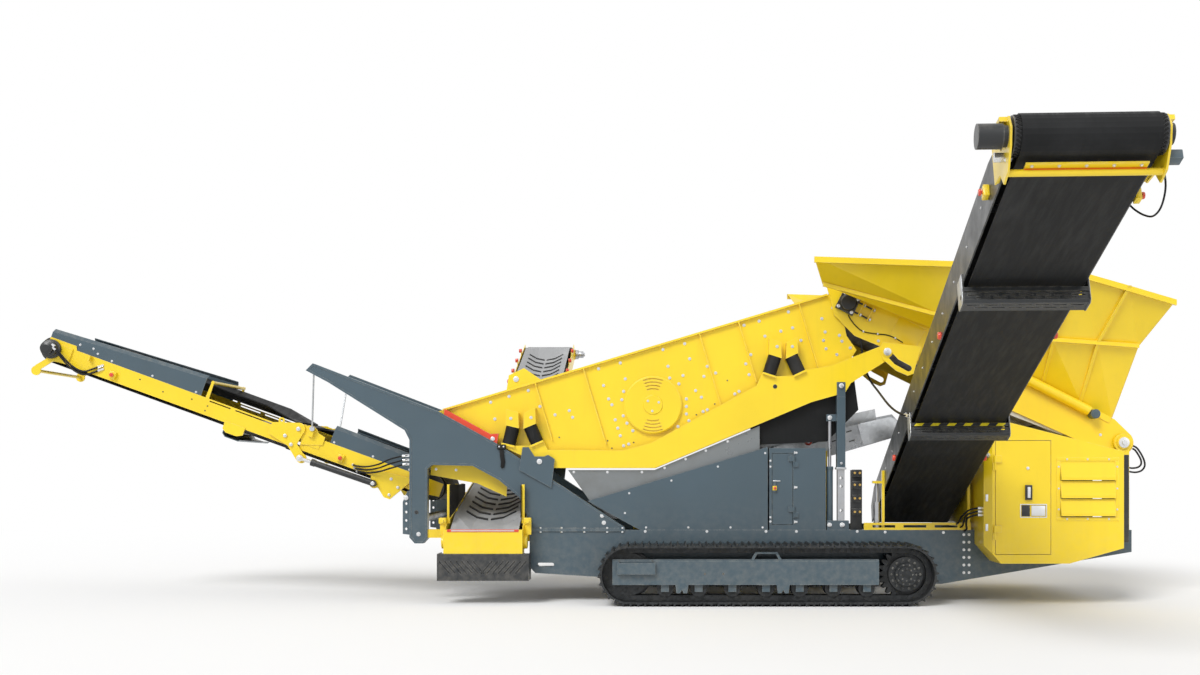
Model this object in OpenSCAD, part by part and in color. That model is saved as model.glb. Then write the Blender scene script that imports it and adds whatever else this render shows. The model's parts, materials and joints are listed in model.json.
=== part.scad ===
// Tracked mobile screening plant: feed hopper and belt feeder, inclined two-deck screen box on rubber
// springs, folding front conveyor, side conveyor, cross conveyor, power pack housing and crawler tracks.
// Millimetres. +X runs from the front conveyor to the power pack, +Y to the far side, +Z up.
// The origin is on the ground in the middle of the plan box.

/* [Crawler tracks] */
// Overall length of a track loop
track_length = 3900; // [3500:10:4700]
// Overall height of a track loop
track_height = 720; // [660:5:860]
// Width of the track shoes
shoe_width = 500; // [400:10:600]
// Gap between a track and the chassis beam beside it
track_gap = 50; // [40:5:120]
// Middle of the tracks, from the origin
track_x = 2100; // [1900:10:2300]
// Shoes in one loop
shoe_count = 50; // [40:1:60]
// Bottom rollers under one track frame
roller_count = 7; // [5:1:9]

/* [Chassis] */
// Height of the chassis top flange above ground
chassis_top = 850; // [840:5:870]
// Thickness of a chassis side beam
chassis_beam_t = 120; // [80:5:140]

/* [Screen box] */
// Slope of the screen box
screen_slope = 16.7; // [15:0.1:18]
// Length of the screen box along its top edge
screen_length = 4960; // [4100:10:5000]
// Clear width between the screen side plates
screen_width = 1576; // [1400:2:1900]
// Thickness of the screen side plates
screen_plate_t = 12; // [8:1:20]
// Diameter of the rubber springs
spring_d = 160; // [120:5:180]

/* [Feeder and hopper] */
// Slope of the belt feeder
feeder_slope = 27; // [25:0.5:29]
// Distance between the feeder drums
feeder_length = 3668; // [3600:10:4000]
// Width across the hopper top
hopper_width = 3000; // [2600:20:3400]
// Thickness of the hopper plates
hopper_t = 14; // [8:1:24]

/* [Power pack housing] */
// Width over the housing
housing_width = 2900; // [2800:10:3000]
// Thickness of the housing panels
housing_t = 25; // [15:1:40]
// Width of the service door
door_w = 640; // [560:10:700]

/* [Front conveyor] */
// Slope of the front conveyor
front_slope = 20; // [18:0.5:22]
// Fold hinge to head drum
front_outer_length = 3150; // [3000:10:3300]
// Fold hinge to tail drum
front_inner_length = 1750; // [1700:5:1760]
// Width of the front conveyor belt
front_belt_w = 1000; // [800:10:1200]

/* [Side and cross conveyors] */
// Slope of the side conveyor
side_slope = 19.3; // [17:0.1:22]
// Distance between the side conveyor drums
side_length = 8250; // [6500:50:8400]
// Width of the side conveyor belt
side_belt_w = 900; // [700:10:1080]
// Slope of the upper run of the cross conveyor
cross_slope = 21.2; // [18:0.1:23]
// Length of the upper run of the cross conveyor
cross_upper_length = 6754; // [5500:2:6900]
// Width of the cross conveyor belt
cross_belt_w = 800; // [650:10:900]
// Thickness of all conveyor belts
belt_t = 12; // [8:1:15]

/* [Hidden] */
$fn = 48;

yellow = "#f2cc05";
slate = "#44525e";
rubber = "#23241f";
bright = "#c3c7ca";
red = "#d8382c";

// Straight steps of a belt round half a drum
wrap_steps = 12;
// Running clearance of a pin or rod in its bore, and the gaps between faces that only meet
fit_gap = 0.05;
seat_gap = 0.3;
face_gap = 0.02;
// Gap round a door leaf, clearance between plates that move past each other, and depth of a welded lap
door_gap = 6;
running_gap = 12;
weld = 1;

// Screen box across its width
rib_depth = 46;
cradle_t = 64;
screen_y0 = screen_width / 2;
screen_y1 = screen_y0 + screen_plate_t;
rib_y1 = screen_y1 + rib_depth;
cradle_y0 = rib_y1 + running_gap;
cradle_y1 = cradle_y0 + cradle_t;
post_y = (cradle_y0 + cradle_y1) / 2;
spring_y = screen_y1 + spring_d / 2 + 5;

// Screen box in the side view, the feed end measured from the upper end of its top edge
screen_foot = [-1814, 2254];
screen_head = screen_foot + screen_length * [cos(screen_slope), sin(screen_slope)];
function feed(x, z) = screen_head + [x, z];
exciter_pos = [781, 2337];
exciter_r = 345;
// Lower and upper end of each rubber spring
springs = [
  [[-932, 1866], [-883, 2071]],
  [[-596, 1882], [-679, 2076]],
  [feed(-775, -983), feed(-707, -774)],
  [feed(-418, -964), feed(-509, -769)]
];
seat_t = 22;
lift_pin = feed(75, -1122);
lift_pin_r = 24;
link_pin = feed(621, -719);
link_pin_r = 34;

// Feeder in the side view; local x runs down from the head drum to the tail drum
feeder_head = feed(169, -128);
feeder_drum_r = 150;
feeder_plate_t = 20;
feeder_y0 = screen_y1 + running_gap;
feeder_y1 = feeder_y0 + feeder_plate_t;
feeder_belt_w = 2 * (feeder_y0 - 92);
feeder_top = 210;
feeder_low = -255;
feeder_shaft_r = 45;
bearing_side = 230;
tail_pin_r = 60;
tail_post_t = 40;
tail_post_y = feeder_y1 + 18;
function feeder_point(x, z) = feeder_head
  + [x * cos(feeder_slope) + z * sin(feeder_slope), -x * sin(feeder_slope) + z * cos(feeder_slope)];
feeder_tail = feeder_point(feeder_length, 0);

// Chassis
beam_y0 = post_y - chassis_beam_t / 2;
beam_y1 = post_y + chassis_beam_t / 2;
flange_t = 16;

// Crawler
track_centres = 2 * (beam_y1 + track_gap) + shoe_width;
loop_r = track_height / 2;
loop_run = track_length - track_height;
grouser_h = 26;
shoe_t = 14;
band_t = 12;
rail_h = 64;
rail_w = 45;
rail_y = 74;
path_r = loop_r - grouser_h - shoe_t;
rail_r = path_r - band_t - rail_h;
loop_path = 2 * loop_run + 2 * PI * path_r;
shoe_pitch = loop_path / shoe_count;
roller_r = 80;
roller_w = 240;
roller_z = loop_r - rail_r + roller_r + seat_gap;
frame_z0 = roller_z + roller_r + 22;
frame_z1 = track_height - 185;
frame_w = 360;
fork_t = 30;
fork_y = frame_w / 2 - fork_t;
apron_t = 10;
idler_x = track_x - loop_run / 2;
sprocket_x = track_x + loop_run / 2;
sprocket_r = path_r - band_t - 3;
sprocket_t = 2 * (rail_y - rail_w / 2) - 24;
sprocket_teeth = 23;
frame_x0 = idler_x + rail_r + 38;
frame_x1 = sprocket_x - sprocket_r - 12;
fork_x0 = idler_x - 190;
track_frame_y = track_centres / 2 - frame_w / 2;
function roller_x(i) = frame_x0 + 130 + i * (frame_x1 - frame_x0 - 260) / (roller_count - 1);

// Cross conveyor: local x runs from the near side to the far side
cross_x = -1185;
cross_tail = [-1130, 720];
cross_low_slope = 13;
cross_low_length = 2420;
cross_drum_r = 130;
cross_plate_t = 12;
cross_y0 = cross_belt_w / 2 + 45;
cross_y1 = cross_y0 + cross_plate_t;
cross_lift = 90;
cross_bend = cross_tail + cross_low_length * [cos(cross_low_slope), sin(cross_low_slope)];
cross_head = cross_bend + cross_upper_length * [cos(cross_slope), sin(cross_slope)];
tail_box_x = cross_tail[0] - 160;
tail_box_z = [540, 870];
guard_half = cross_y1 + 73;

// Chassis length and front frames, either side of the cross conveyor
chassis_front = cross_x + cross_y1 + 48;
chassis_rear = feeder_tail[0] + 75;
post_x1 = cross_x - cross_y1 - 248;
post_x0 = post_x1 - 213;
flange_x1 = 448;
web_depth = 6;
web_edge = 24;
function member_x(i) = chassis_front + 120 + i * (chassis_rear - chassis_front - 290) / 6;
member_z = [chassis_top - 250, chassis_top - 70];

// Side conveyor: local x runs from the tail drum to the head drum
side_tail = [feed(1143, 0)[0], 250, 1036];
side_yaw = 3;
side_drum_r = 135;
side_plate_t = 12;
side_y0 = side_belt_w / 2 + 25;
side_y1 = side_y0 + side_plate_t;
side_lift = 100;
head_y0 = side_belt_w / 2 + 45;
head_y1 = head_y0 + 10;
head_t = 14;
head_shaft_r = 40;
guard_x = [3395, 6340];
tower_t = 30;
tower_x = (side_tail[1] + post_y) / cos(side_yaw);
tower_z = side_tail[2] + tower_x * tan(side_slope);
side_lift_z = tower_z - 36;

// Power pack housing, between the side conveyor and the feeder's rear posts
housing_x0 = side_tail[0] + side_y1 + 21;
housing_x1 = feeder_tail[0] - 201;
housing_y = housing_width / 2;
housing_z0 = 488;
housing_eave = 2174;
housing_fall = 0.253;
housing_chamfer = 80;
door_cut_x0 = housing_x0 + housing_chamfer + 32;
door_z = [590, 1900];
louvre_x0 = door_cut_x0 + door_w + 109;
louvre_x1 = housing_x1 - 104;
louvre_z = [1022, 1641];
louvre_count = 3;
hinge_r = 13;
hinge_lift = 6;
hinge_pin_r = 7;
hinge_step = 6;
engine_hinges = [760, 1560];
engine_knuckle = 80;
engine_hinge_x = door_cut_x0 - 8;
engine_hinge_y = -housing_y - hinge_r - hinge_lift;

// Control cabinet and side covers
cabinet_x1 = lift_pin[0] - 184;
cabinet_x0 = cabinet_x1 - 668;
cabinet_top = 1820;
cabinet_depth = 330;
cabinet_t = 20;
cabinet_door_w = 250;
cabinet_door_x = cabinet_x0 + 30;
cabinet_door_edge = 60;
cabinet_hinges = [1000, 1600];
cabinet_knuckle = 60;
cabinet_hinge_x = cabinet_door_x + cabinet_door_w + 10;
cabinet_hinge_y = -beam_y1 - hinge_r - hinge_lift;
cover_t = 40;
hopper_side_y = beam_y1 - cover_t - 30;

// Lift posts: base block, bright leg, cylinder beside it
lift_base_z = chassis_top + 110;
lift_leg_top = lift_pin[1] - 977;
lift_eye_z = lift_pin[1] - 417;
lift_cylinder_x = lift_pin[0] - 130;
lift_barrel_h = 640;

// Fines conveyor under the screen
fines_tail = [330, 1075];
fines_length = (feed(697, 0)[0] - fines_tail[0]) / cos(screen_slope);
fines_drum_r = 110;
fines_belt_w = 1000;
fines_y0 = fines_belt_w / 2 + 21;
fines_y1 = fines_y0 + 14;

// Front conveyor: the fold hinge carries the local frame, local x runs down to the tail
hinge_pos = [-3510, 2057];
front_plate_t = 12;
front_y0 = front_belt_w / 2 + 60;
front_y1 = front_y0 + front_plate_t;
front_drum_r = 150;
front_axis_z = -115;
front_top_z = -30;
front_low_z = -235;
// The belt lies nearly flat where it passes the hinge, so that its edges clear each other when folded
fold_gap = 95;
front_lift = 90;
hinge_belt_lift = 18;
belt_ease = 400;
pivot_pin_r = 28;
lug_y0 = front_y1 + 6;
lug_y1 = lug_y0 + 10;
lever_y0 = lug_y1 + 6;
lever_y1 = lever_y0 + 20;
cylinder_y = lever_y1 + 50;
rod_eye = [150, -323];
barrel_pin = [1084, -306];
cylinder_r = 38;
rod_r = 22;
eye_r = 40;
fold_pin_r = 24;
cylinder_pitch = norm(barrel_pin - rod_eye);
barrel_end = 790;
head_x = -front_outer_length;
head_plate_y = front_y1 + 18;
scraper_at = [head_x - 95, -425];
hoop_x = -1184;
trough_x = [-870, -632];
stay_eye = [160, 60];

// Shared shapes

// Plate with its outline in the side view, from y to y + t
module side_plate(points, y, t)
  translate([0, y + t, 0]) rotate([90, 0, 0]) linear_extrude(t) polygon(points);

// Round bar along Y
module cross_bar(at, r, y0, y1)
  translate([at[0], y0, at[1]]) rotate([-90, 0, 0]) cylinder(r = r, h = y1 - y0);

// Round bar between two points of the side view
module bar_between(a, b, y, r)
  translate([a[0], y, a[1]]) rotate([0, atan2(b[0] - a[0], b[1] - a[1]), 0]) cylinder(r = r, h = norm(b - a));

module both_sides() {
  children();
  mirror([0, 1, 0]) children();
}

module box(low, high) translate(low) cube(high - low);

module stadium(run, r) {
  square([run, 2 * r], center = true);
  for (x = [-run / 2, run / 2]) translate([x, 0]) circle(r);
}

// Closed solid through cross-sections with equal numbers of points; a ring joins the last to the first
module loft(sections, ring) {
  n = len(sections[0]);
  m = len(sections);
  sides = [for (i = [0 : m - (ring ? 1 : 2)]) for (j = [0 : n - 1])
    let (a = i * n, b = ((i + 1) % m) * n, k = (j + 1) % n) [a + j, a + k, b + k, b + j]];
  caps = ring ? [] : [[for (j = [n - 1 : -1 : 0]) j], [for (j = [0 : n - 1]) (m - 1) * n + j]];
  polyhedron(points = [for (s = sections) each s], faces = concat(sides, caps));
}

// Cross-section of a belt at a point of its path: across Y, troughed by lift at both edges
function belt_section(at, normal, width, lift) =
  let (half = width / 2, flat = width / 5)
  [for (p = [[half, lift], [flat, 0], [-flat, 0], [-half, lift],
             [-half, lift + belt_t], [-flat, belt_t], [flat, belt_t], [half, lift + belt_t]])
    [at[0] + p[1] * sin(normal), p[0], at[1] + p[1] * cos(normal)]];

// Sections round a drum, the normal turning from one angle to the other
function drum_wrap(centre, r, from, to, width, steps = wrap_steps) =
  [for (i = [0 : steps]) let (a = from + (to - from) * i / steps)
    belt_section(centre + r * [sin(a), cos(a)], a, width, 0)];

// Drum that just fits inside a belt wrapped at radius r
function drum_fit(r) = r * cos(90 / wrap_steps) - seat_gap;

// Whole belt loop from a tail drum at the origin to a head drum at x = length
module belt_loop(length, r, width, lift, ease) {
  loft(concat(
    [for (x = [ease, length - ease]) belt_section([x, r], 0, width, lift)],
    drum_wrap([length, 0], r, 0, 180, width),
    drum_wrap([0, 0], r, 180, 360, width)), true);
}

// Door hinge: a fixed knuckle with the pin that stands up through the leaf's knuckle
module fixed_knuckle(at, z, h) translate([at[0], at[1], z]) {
  cylinder(r = hinge_r, h = h);
  cylinder(r = hinge_pin_r, h = 2 * h + hinge_step);
}

module leaf_knuckle(at, z, h) translate([at[0], at[1], z + h + hinge_step]) difference() {
  cylinder(r = hinge_r, h = h);
  translate([0, 0, -weld]) cylinder(r = hinge_pin_r + fit_gap, h = h + 2 * weld);
}

// Crawler tracks

// Point of the track loop at a distance along it, offset outwards
function loop_point(s, out) =
  let (arc = PI * path_r, r = path_r + out)
  s < loop_run ? [s - loop_run / 2, -r]
  : s < loop_run + arc ? let (a = (s - loop_run) / arc * 180 - 90) [loop_run / 2 + r * cos(a), r * sin(a)]
  : s < 2 * loop_run + arc ? [loop_run / 2 - (s - loop_run - arc), r]
  : let (a = (s - 2 * loop_run - arc) / arc * 180 + 90) [-loop_run / 2 + r * cos(a), r * sin(a)];

// Shoe outline: share of the pitch and height above the shoe plate's back
shoe_outline = [
  [0.03, 0], [0.03, shoe_t], [0.07, shoe_t + grouser_h], [0.15, shoe_t + grouser_h], [0.2, shoe_t],
  [0.55, shoe_t], [0.59, shoe_t + grouser_h], [0.67, shoe_t + grouser_h], [0.72, shoe_t],
  [0.97, shoe_t], [0.97, 0]
];

module at_track() both_sides() translate([track_x, -track_centres / 2, loop_r]) rotate([90, 0, 0]) children();

module track_chains() color(rubber) at_track() {
  linear_extrude(shoe_width, center = true) difference() {
    polygon([for (i = [0 : shoe_count - 1]) for (p = shoe_outline)
      loop_point((i + p[0]) * shoe_pitch, p[1])]);
    stadium(loop_run, path_r - band_t);
  }
  for (y = [-rail_y, rail_y]) translate([0, 0, y]) linear_extrude(rail_w, center = true) difference() {
    stadium(loop_run, path_r - band_t / 2);
    stadium(loop_run, rail_r);
  }
}

module track_frames() color(slate) both_sides() translate([0, -track_centres / 2, 0]) {
  face = -frame_w / 2;
  box([frame_x0, face, frame_z0], [frame_x1, -face, frame_z1]);
  // Idler fork and final drive bracket
  for (y = [face, fork_y]) box([fork_x0, y, frame_z0], [frame_x0 + 10, y + fork_t, frame_z1]);
  box([frame_x1 - 10, fork_y, loop_r - 110], [sprocket_x + 120, fork_y + fork_t, loop_r + 110]);
  // Apron plate that hides the upper half of the rollers
  box([fork_x0, face - apron_t, frame_z0 - 55], [frame_x1, face + weld, frame_z1 - 18]);
  // Roller axle blocks
  for (i = [0 : roller_count - 1]) for (side = [-1, 1])
    translate([roller_x(i), side * (roller_w / 2 + 15), (roller_z - 35 + frame_z0) / 2])
      cube([90, 30, frame_z0 - roller_z + 37], center = true);
  // Open guide bow on top of the beam
  difference() {
    side_plate([[track_x - 190, frame_z1 - weld], [track_x - 140, frame_z1 + 85],
      [track_x + 110, frame_z1 + 85], [track_x + 160, frame_z1 - weld]], face + 6, 24);
    side_plate([[track_x - 155, frame_z1], [track_x - 122, frame_z1 + 62], [track_x + 92, frame_z1 + 62],
      [track_x + 125, frame_z1]], face, 40);
  }
  // Step hung on the apron
  difference() {
    box([fork_x0 + 60, face - apron_t - 60, frame_z0 + 70],
      [fork_x0 + 490, face - apron_t + weld, frame_z0 + 200]);
    box([fork_x0 + 80, face - apron_t - 48, frame_z0 + 90], [fork_x0 + 470, face - apron_t, frame_z0 + 201]);
  }
  // Chain guides under the apron, between two rollers
  for (i = [0, 3]) {
    x = (roller_x(i) + roller_x(i + 1)) / 2;
    side_plate([[x - 75, frame_z0 - 54], [x + 75, frame_z0 - 54], [x + 62, frame_z0 - 150],
      [x + 20, frame_z0 - 150], [x, frame_z0 - 110], [x - 20, frame_z0 - 150], [x - 62, frame_z0 - 150]],
      face - apron_t, 20);
  }
}

module track_rollers() color(rubber) both_sides() for (i = [0 : roller_count - 1])
  translate([roller_x(i), -track_centres / 2, roller_z]) rotate([90, 0, 0]) rotate_extrude() polygon([
    [0, -roller_w / 2], [45, -roller_w / 2], [45, -118], [95, -118], [95, -102], [roller_r, -98],
    [roller_r, 98], [95, 102], [95, 118], [45, 118], [45, roller_w / 2], [0, roller_w / 2]]);

module idler_wheels() color(rubber) both_sides()
  translate([idler_x, -track_centres / 2, loop_r]) rotate([90, 0, 0]) rotate_extrude($fn = 72) polygon([
    [0, -fork_y], [85, -fork_y], [85, -100], [rail_r - seat_gap, -100], [rail_r - seat_gap, -45],
    [rail_r + 26, -38], [rail_r + 26, 38], [rail_r - seat_gap, 45], [rail_r - seat_gap, 100], [85, 100],
    [85, fork_y], [0, fork_y]]);

module drive_sprockets() color(rubber) both_sides()
  translate([sprocket_x, -track_centres / 2, loop_r]) rotate([90, 0, 0]) {
    tooth = 360 / sprocket_teeth;
    linear_extrude(sprocket_t, center = true) polygon([for (i = [0 : sprocket_teeth - 1])
      for (p = [[0, sprocket_r - 62], [0.34, sprocket_r - 8], [0.5, sprocket_r], [0.66, sprocket_r - 8]])
        let (a = (i + p[0]) * tooth) p[1] * [cos(a), sin(a)]]);
    // Final drive, its stepped cover facing outwards
    translate([0, 0, -fork_y]) cylinder(r = rail_r - 45, h = 2 * fork_y - 20);
    cylinder(r = 130, h = fork_y + 30);
    cylinder(r = 95, h = fork_y + 48);
  }

// Chassis

module chassis_beams() color(slate) both_sides() {
  difference() {
    side_plate([
      [chassis_front, chassis_top], [chassis_rear, chassis_top], [chassis_rear, 590], [housing_x0 - 390, 210],
      [155, 293], [chassis_front + 70, 340], [chassis_front, 410]], -beam_y1, chassis_beam_t);
    // Lashing slot at the front end
    translate([chassis_front + 190, -beam_y0 + weld, 439]) rotate([90, 0, 0])
      linear_extrude(chassis_beam_t + 2 * weld) stadium(155, 22);
  }
  // Flange that the front frame is bolted to
  box([chassis_front, -beam_y1 - flange_t, chassis_top - flange_t],
    [flange_x1, -beam_y1 + weld, chassis_top]);
}

module cross_members() color(slate) {
  for (i = [0 : 6]) box([member_x(i) - 75, -beam_y0, member_z[0]], [member_x(i) + 75, beam_y0, member_z[1]]);
  // Stub beams out to the track frames
  both_sides() for (x = [track_x - 950, track_x + 950])
    box([x - 150, -track_frame_y, frame_z0 + 30], [x + 150, -beam_y1, frame_z1 - 20]);
  // Tubes between the front frames
  for (z = [980, 2120]) cross_bar([(post_x0 + post_x1) / 2, z], 50, -beam_y0, beam_y0);
}

// Front frames that carry the lower end of the screen and the front conveyor

front_top_run = [[-1757, 2251], [-1042, 1858], [flange_x1, chassis_top + 31]];
// Arch over the cross conveyor, which has climbed higher where it passes the far frame
near_arch = [[chassis_front - 33, 1024], [chassis_front - 124, 1238], [cross_x + 143, 1441],
  [cross_x - 167, 1608], [post_x1 + 50, 1620], [post_x1, 1570]];
far_arch = [[chassis_front - 5, 1440], [chassis_front - 60, 1500], [cross_x + 143, 1650],
  [cross_x - 167, 1700], [post_x1 + 50, 1700], [post_x1, 1650]];

function front_frame_outline(arch) = concat([[-3331, 2740], [-3247, 2824]], front_top_run,
  [[flange_x1, chassis_top], [chassis_front - 5, chassis_top]], arch,
  [[post_x1, 745], [post_x1 - 50, 690], [post_x0 + 63, 690], [post_x0, 760], [post_x0, 1918],
   [post_x0 - 57, 2030], [-3069, 2600]]);

// Height of the front frame's top edge in its upper run
function front_top(x) = let (a = front_top_run[0], b = front_top_run[1])
  a[1] + (x - a[0]) * (b[1] - a[1]) / (b[0] - a[0]);

module front_frame(arch) {
  outline = front_frame_outline(arch);
  difference() {
    side_plate(outline, -beam_y1, chassis_beam_t);
    // Web set back behind the edge of the flanges
    translate([0, -beam_y1 + web_depth, 0]) rotate([90, 0, 0]) linear_extrude(web_depth + weld)
      offset(delta = -web_edge) polygon(outline);
    cross_bar([post_x0 + 108, 800], 18, -beam_y1 - weld, -beam_y0 + weld);
  }
  // Saddle plate that holds the foot of the screen cradle
  difference() {
    side_plate([[-800, 1560], [-760, 1830], [-690, 1830], [-620, 1720], [-500, 1720], [-460, 1740],
      [-380, 1690], [-420, 1350]], -beam_y1 - 25, 25 + web_depth + weld);
    cross_bar([-560, 1660], 14, -beam_y1 - 26, -beam_y1 + web_depth + 2 * weld);
  }
  // Flange over the chassis and drilled lug on the front of the post
  box([chassis_front, -beam_y1 - flange_t, chassis_top],
    [flange_x1, -beam_y1 + weld, chassis_top + flange_t]);
  difference() {
    side_plate([[post_x0 + weld, 790], [post_x0 - 87, 800], [post_x0 - 87, 1180], [post_x0 - 30, 1310],
      [post_x0 + weld, 1310]], -post_y - 20, 40);
    for (z = [860 : 100 : 1160]) cross_bar([post_x0 - 48, z], 16, -post_y - 21, -post_y + 21);
  }
}

module front_frames() color(slate) {
  front_frame(near_arch);
  mirror([0, 1, 0]) front_frame(far_arch);
}

// Red locking bars that lie on the front frames
module transport_locks() color(red) both_sides() side_plate([
  [-1700, front_top(-1700)], [-1694, front_top(-1694) + 70], [-1150, front_top(-1150) + 70],
  [-1050, front_top(-1050) + 130], [-1070, front_top(-1070)]], -post_y - 30, 60);

// Screen box

function spring_dir(s) = (s[1] - s[0]) / norm(s[1] - s[0]);
function spring_edge(at, s) = let (d = spring_dir(s), p = [d[1], -d[0]] * spring_d / 2) [at - p, at + p];

module on_screen() translate([screen_foot[0], 0, screen_foot[1]]) rotate([0, -screen_slope, 0]) children();

screen_outline = [
  screen_foot, screen_head, feed(10, -270), feed(135, -395), feed(160, -515), feed(280, -685),
  feed(-37, -1159), [805, 1640], [-475, 1640], [-1050, 1760], screen_foot + [0, -156]];

// Ribs square to the top edge: place along it and drop below it
screen_ribs = [[1231, 720], [1832, 950], [screen_length - 1681, 1000], [screen_length - 1194, 760],
  [screen_length - 440, 800]];

module screen_side_plates() color(yellow) both_sides() {
  side_plate(screen_outline, -screen_y1, screen_plate_t);
  // Top flange
  on_screen() box([90, -rib_y1, -14], [screen_length - 80, -screen_y1 + weld, 8]);
  for (rib = screen_ribs) on_screen() box([rib[0], -rib_y1, -rib[1]], [rib[0] + 12, -screen_y1 + weld, -10]);
  // Boxes that press on the rubber springs
  for (s = springs) {
    e = spring_edge(s[1], s);
    side_plate([e[0], e[1], e[1] + [-8, 190], e[0] + [8, 190]], -spring_y - spring_d / 2,
      spring_y + spring_d / 2 - screen_y1 + weld);
  }
  // Lug at the discharge end
  on_screen() side_plate([[880, 0], [960, 170], [1160, 200], [1320, 0]], -screen_y1, screen_plate_t);
}

screen_tubes = [[300, -480], [1250, -560], [screen_length - 1660, -560], [screen_length - 860, -480],
  [screen_length - 260, -480]];

module screen_cross_tubes() color(yellow) for (at = screen_tubes) on_screen()
  cross_bar(at, 65, -screen_y0, screen_y0);

// Deck panel with a grid of openings, its underside at depth below the top edge of the plates
module deck(x0, x1, depth, columns, rows) {
  bar = 26;
  cell = [(x1 - x0 - bar) / columns, (screen_width - bar) / rows];
  on_screen() translate([x0, -screen_y0, -depth]) linear_extrude(30) difference() {
    square([x1 - x0, screen_width]);
    for (i = [0 : columns - 1]) for (j = [0 : rows - 1])
      translate([bar + i * cell[0], bar + j * cell[1]]) square([cell[0] - bar, cell[1] - bar]);
  }
}

module top_deck() color(bright) deck(120, screen_length - 180, 330, 16, 8);
module bottom_deck() color(bright) deck(160, screen_length - 360, 405, 12, 6);

// Exciter tube with a round cover on each side, pierced by rings of curved slots
module exciter() color(yellow) {
  cross_bar(exciter_pos, 150, -screen_y0, screen_y0);
  both_sides() translate([exciter_pos[0], -screen_y1, exciter_pos[1]]) rotate([90, 0, 0]) difference() {
    rotate_extrude($fn = 72) polygon([[0, 0], [exciter_r, 0], [exciter_r, 40], [exciter_r - 15, 50],
      [120, 50], [110, 62], [0, 62]]);
    for (r = [185, 225, 265, 305]) for (turn = [68, 248])
      translate([0, 0, 30]) rotate([0, 0, turn]) rotate_extrude(angle = 44, $fn = 72) translate([r, 0])
        square([14, 40]);
  }
}

module screen_springs() color(rubber) both_sides() for (s = springs)
  bar_between(s[0] + face_gap * spring_dir(s), s[1] - face_gap * spring_dir(s), -spring_y, spring_d / 2);

// Subframe under the screen box, with the spring seats and the arm that reaches the feeder
module screen_cradle() color(yellow) both_sides() {
  seat = [for (s = springs) spring_edge(s[0], s)];
  difference() {
    side_plate(concat(
      [[-464, 1584], [806, 1584], feed(-269, -1312), feed(-7, -1239), feed(123, -1204), feed(193, -1089),
        link_pin + [2, -100], link_pin + [92, 0], link_pin + [2, 100], feed(-37, -879)],
      [seat[3][1], seat[3][0], seat[2][1], seat[2][0]],
      [feed(-927, -1119), [760, 1880], [420, 1790], [-470, 1800]],
      [seat[1][1], seat[1][0], seat[0][1], seat[0][0]],
      [[-1030, 1850]]), -cradle_y1, cradle_t);
    cross_bar(lift_pin, lift_pin_r + fit_gap, -cradle_y1 - weld, -cradle_y0 + weld);
  }
  // Pin and washer that link the arm to the feeder
  cross_bar(link_pin, link_pin_r, -cradle_y1 - 22, -feeder_y1);
  cross_bar(link_pin, 60, -cradle_y1 - 26, -cradle_y1 - 16);
  // Spring seat plates
  for (s = springs) {
    e = spring_edge(s[0], s);
    d = spring_dir(s);
    side_plate([e[0], e[1], e[1] - seat_t * d, e[0] - seat_t * d], -spring_y - spring_d / 2, spring_d);
  }
}

module lift_posts() color(slate) both_sides() {
  x = lift_pin[0];
  box([x - 170, -beam_y1, chassis_top], [x + 90, -beam_y0, lift_base_z]);
  box([x - 50, -post_y - 50, lift_leg_top], [x + 50, -post_y + 50, lift_pin[1] - 130]);
  // Fork round the cradle lug
  for (y = [-cradle_y1 - 14, -cradle_y0 + 4]) difference() {
    box([x - 50, y, lift_pin[1] - 131], [x + 50, y + 10, lift_pin[1] + 45]);
    cross_bar(lift_pin, lift_pin_r, y - weld, y + 11);
  }
  cross_bar(lift_pin, lift_pin_r, -cradle_y1 - 30, -cradle_y0 + 30);
  // Bracket for the cylinder eye
  box([x - 170, -post_y - 20, lift_eye_z], [x - 49, -post_y + 20, lift_eye_z + 80]);
}

// Upright cylinder on a foot, its rod end at top
module upright_cylinder(at, z0, h, r, top) translate([at[0], at[1], 0]) {
  translate([0, 0, z0]) cylinder(r = r, h = h);
  translate([0, 0, z0 + h - weld]) cylinder(r = r * 0.55, h = top - z0 - h + weld);
}

// Cylinders and bright telescopic legs of the lift posts, and the lift cylinder of the side conveyor
module lift_cylinders() color(bright) {
  both_sides() {
    x = lift_pin[0];
    upright_cylinder([lift_cylinder_x, -post_y], lift_base_z, lift_barrel_h, 36, lift_eye_z);
    difference() {
      box([x - 42, -post_y - 42, lift_base_z], [x + 42, -post_y + 42, lift_leg_top]);
      for (z = [120, 407, 505]) cross_bar([x, lift_base_z + z], 18, -post_y - 43, -post_y + 43);
    }
  }
  translate([side_tail[0], side_tail[1], 0]) rotate([0, 0, -90 - side_yaw])
    upright_cylinder([tower_x, -side_y1 - tower_t - 60], chassis_top, 330, 36, side_lift_z);
}

// Chutes, covers and cabinet under the screen

chute_y = screen_y0 - 28;
near_chute = [[-1880, 1790], [-1500, 1790], [-960, 1560], [-975, 1240], [-1330, 1400], [-1886, 1500]];
far_chute = [[-1830, 1790], [-1500, 1790], [-960, 1560], [-960, 1520], [-1330, 1560], [-1500, 1600],
  [-1830, 1640]];

module medium_chute() color(yellow) {
  side_plate(near_chute, -chute_y, 12);
  mirror([0, 1, 0]) side_plate(far_chute, -chute_y, 12);
  for (x = [-1780, -1560]) cross_bar([x, 1750], 22, -beam_y0, beam_y0);
}

fines_hopper_x1 = cabinet_x0 - 110;
// Height of the cradle's lower edge in its rising run
function under_cradle(x) = let (a = [806, 1584], b = feed(-269, -1312))
  a[1] + (x - a[0]) * (b[1] - a[1]) / (b[0] - a[0]);

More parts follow.
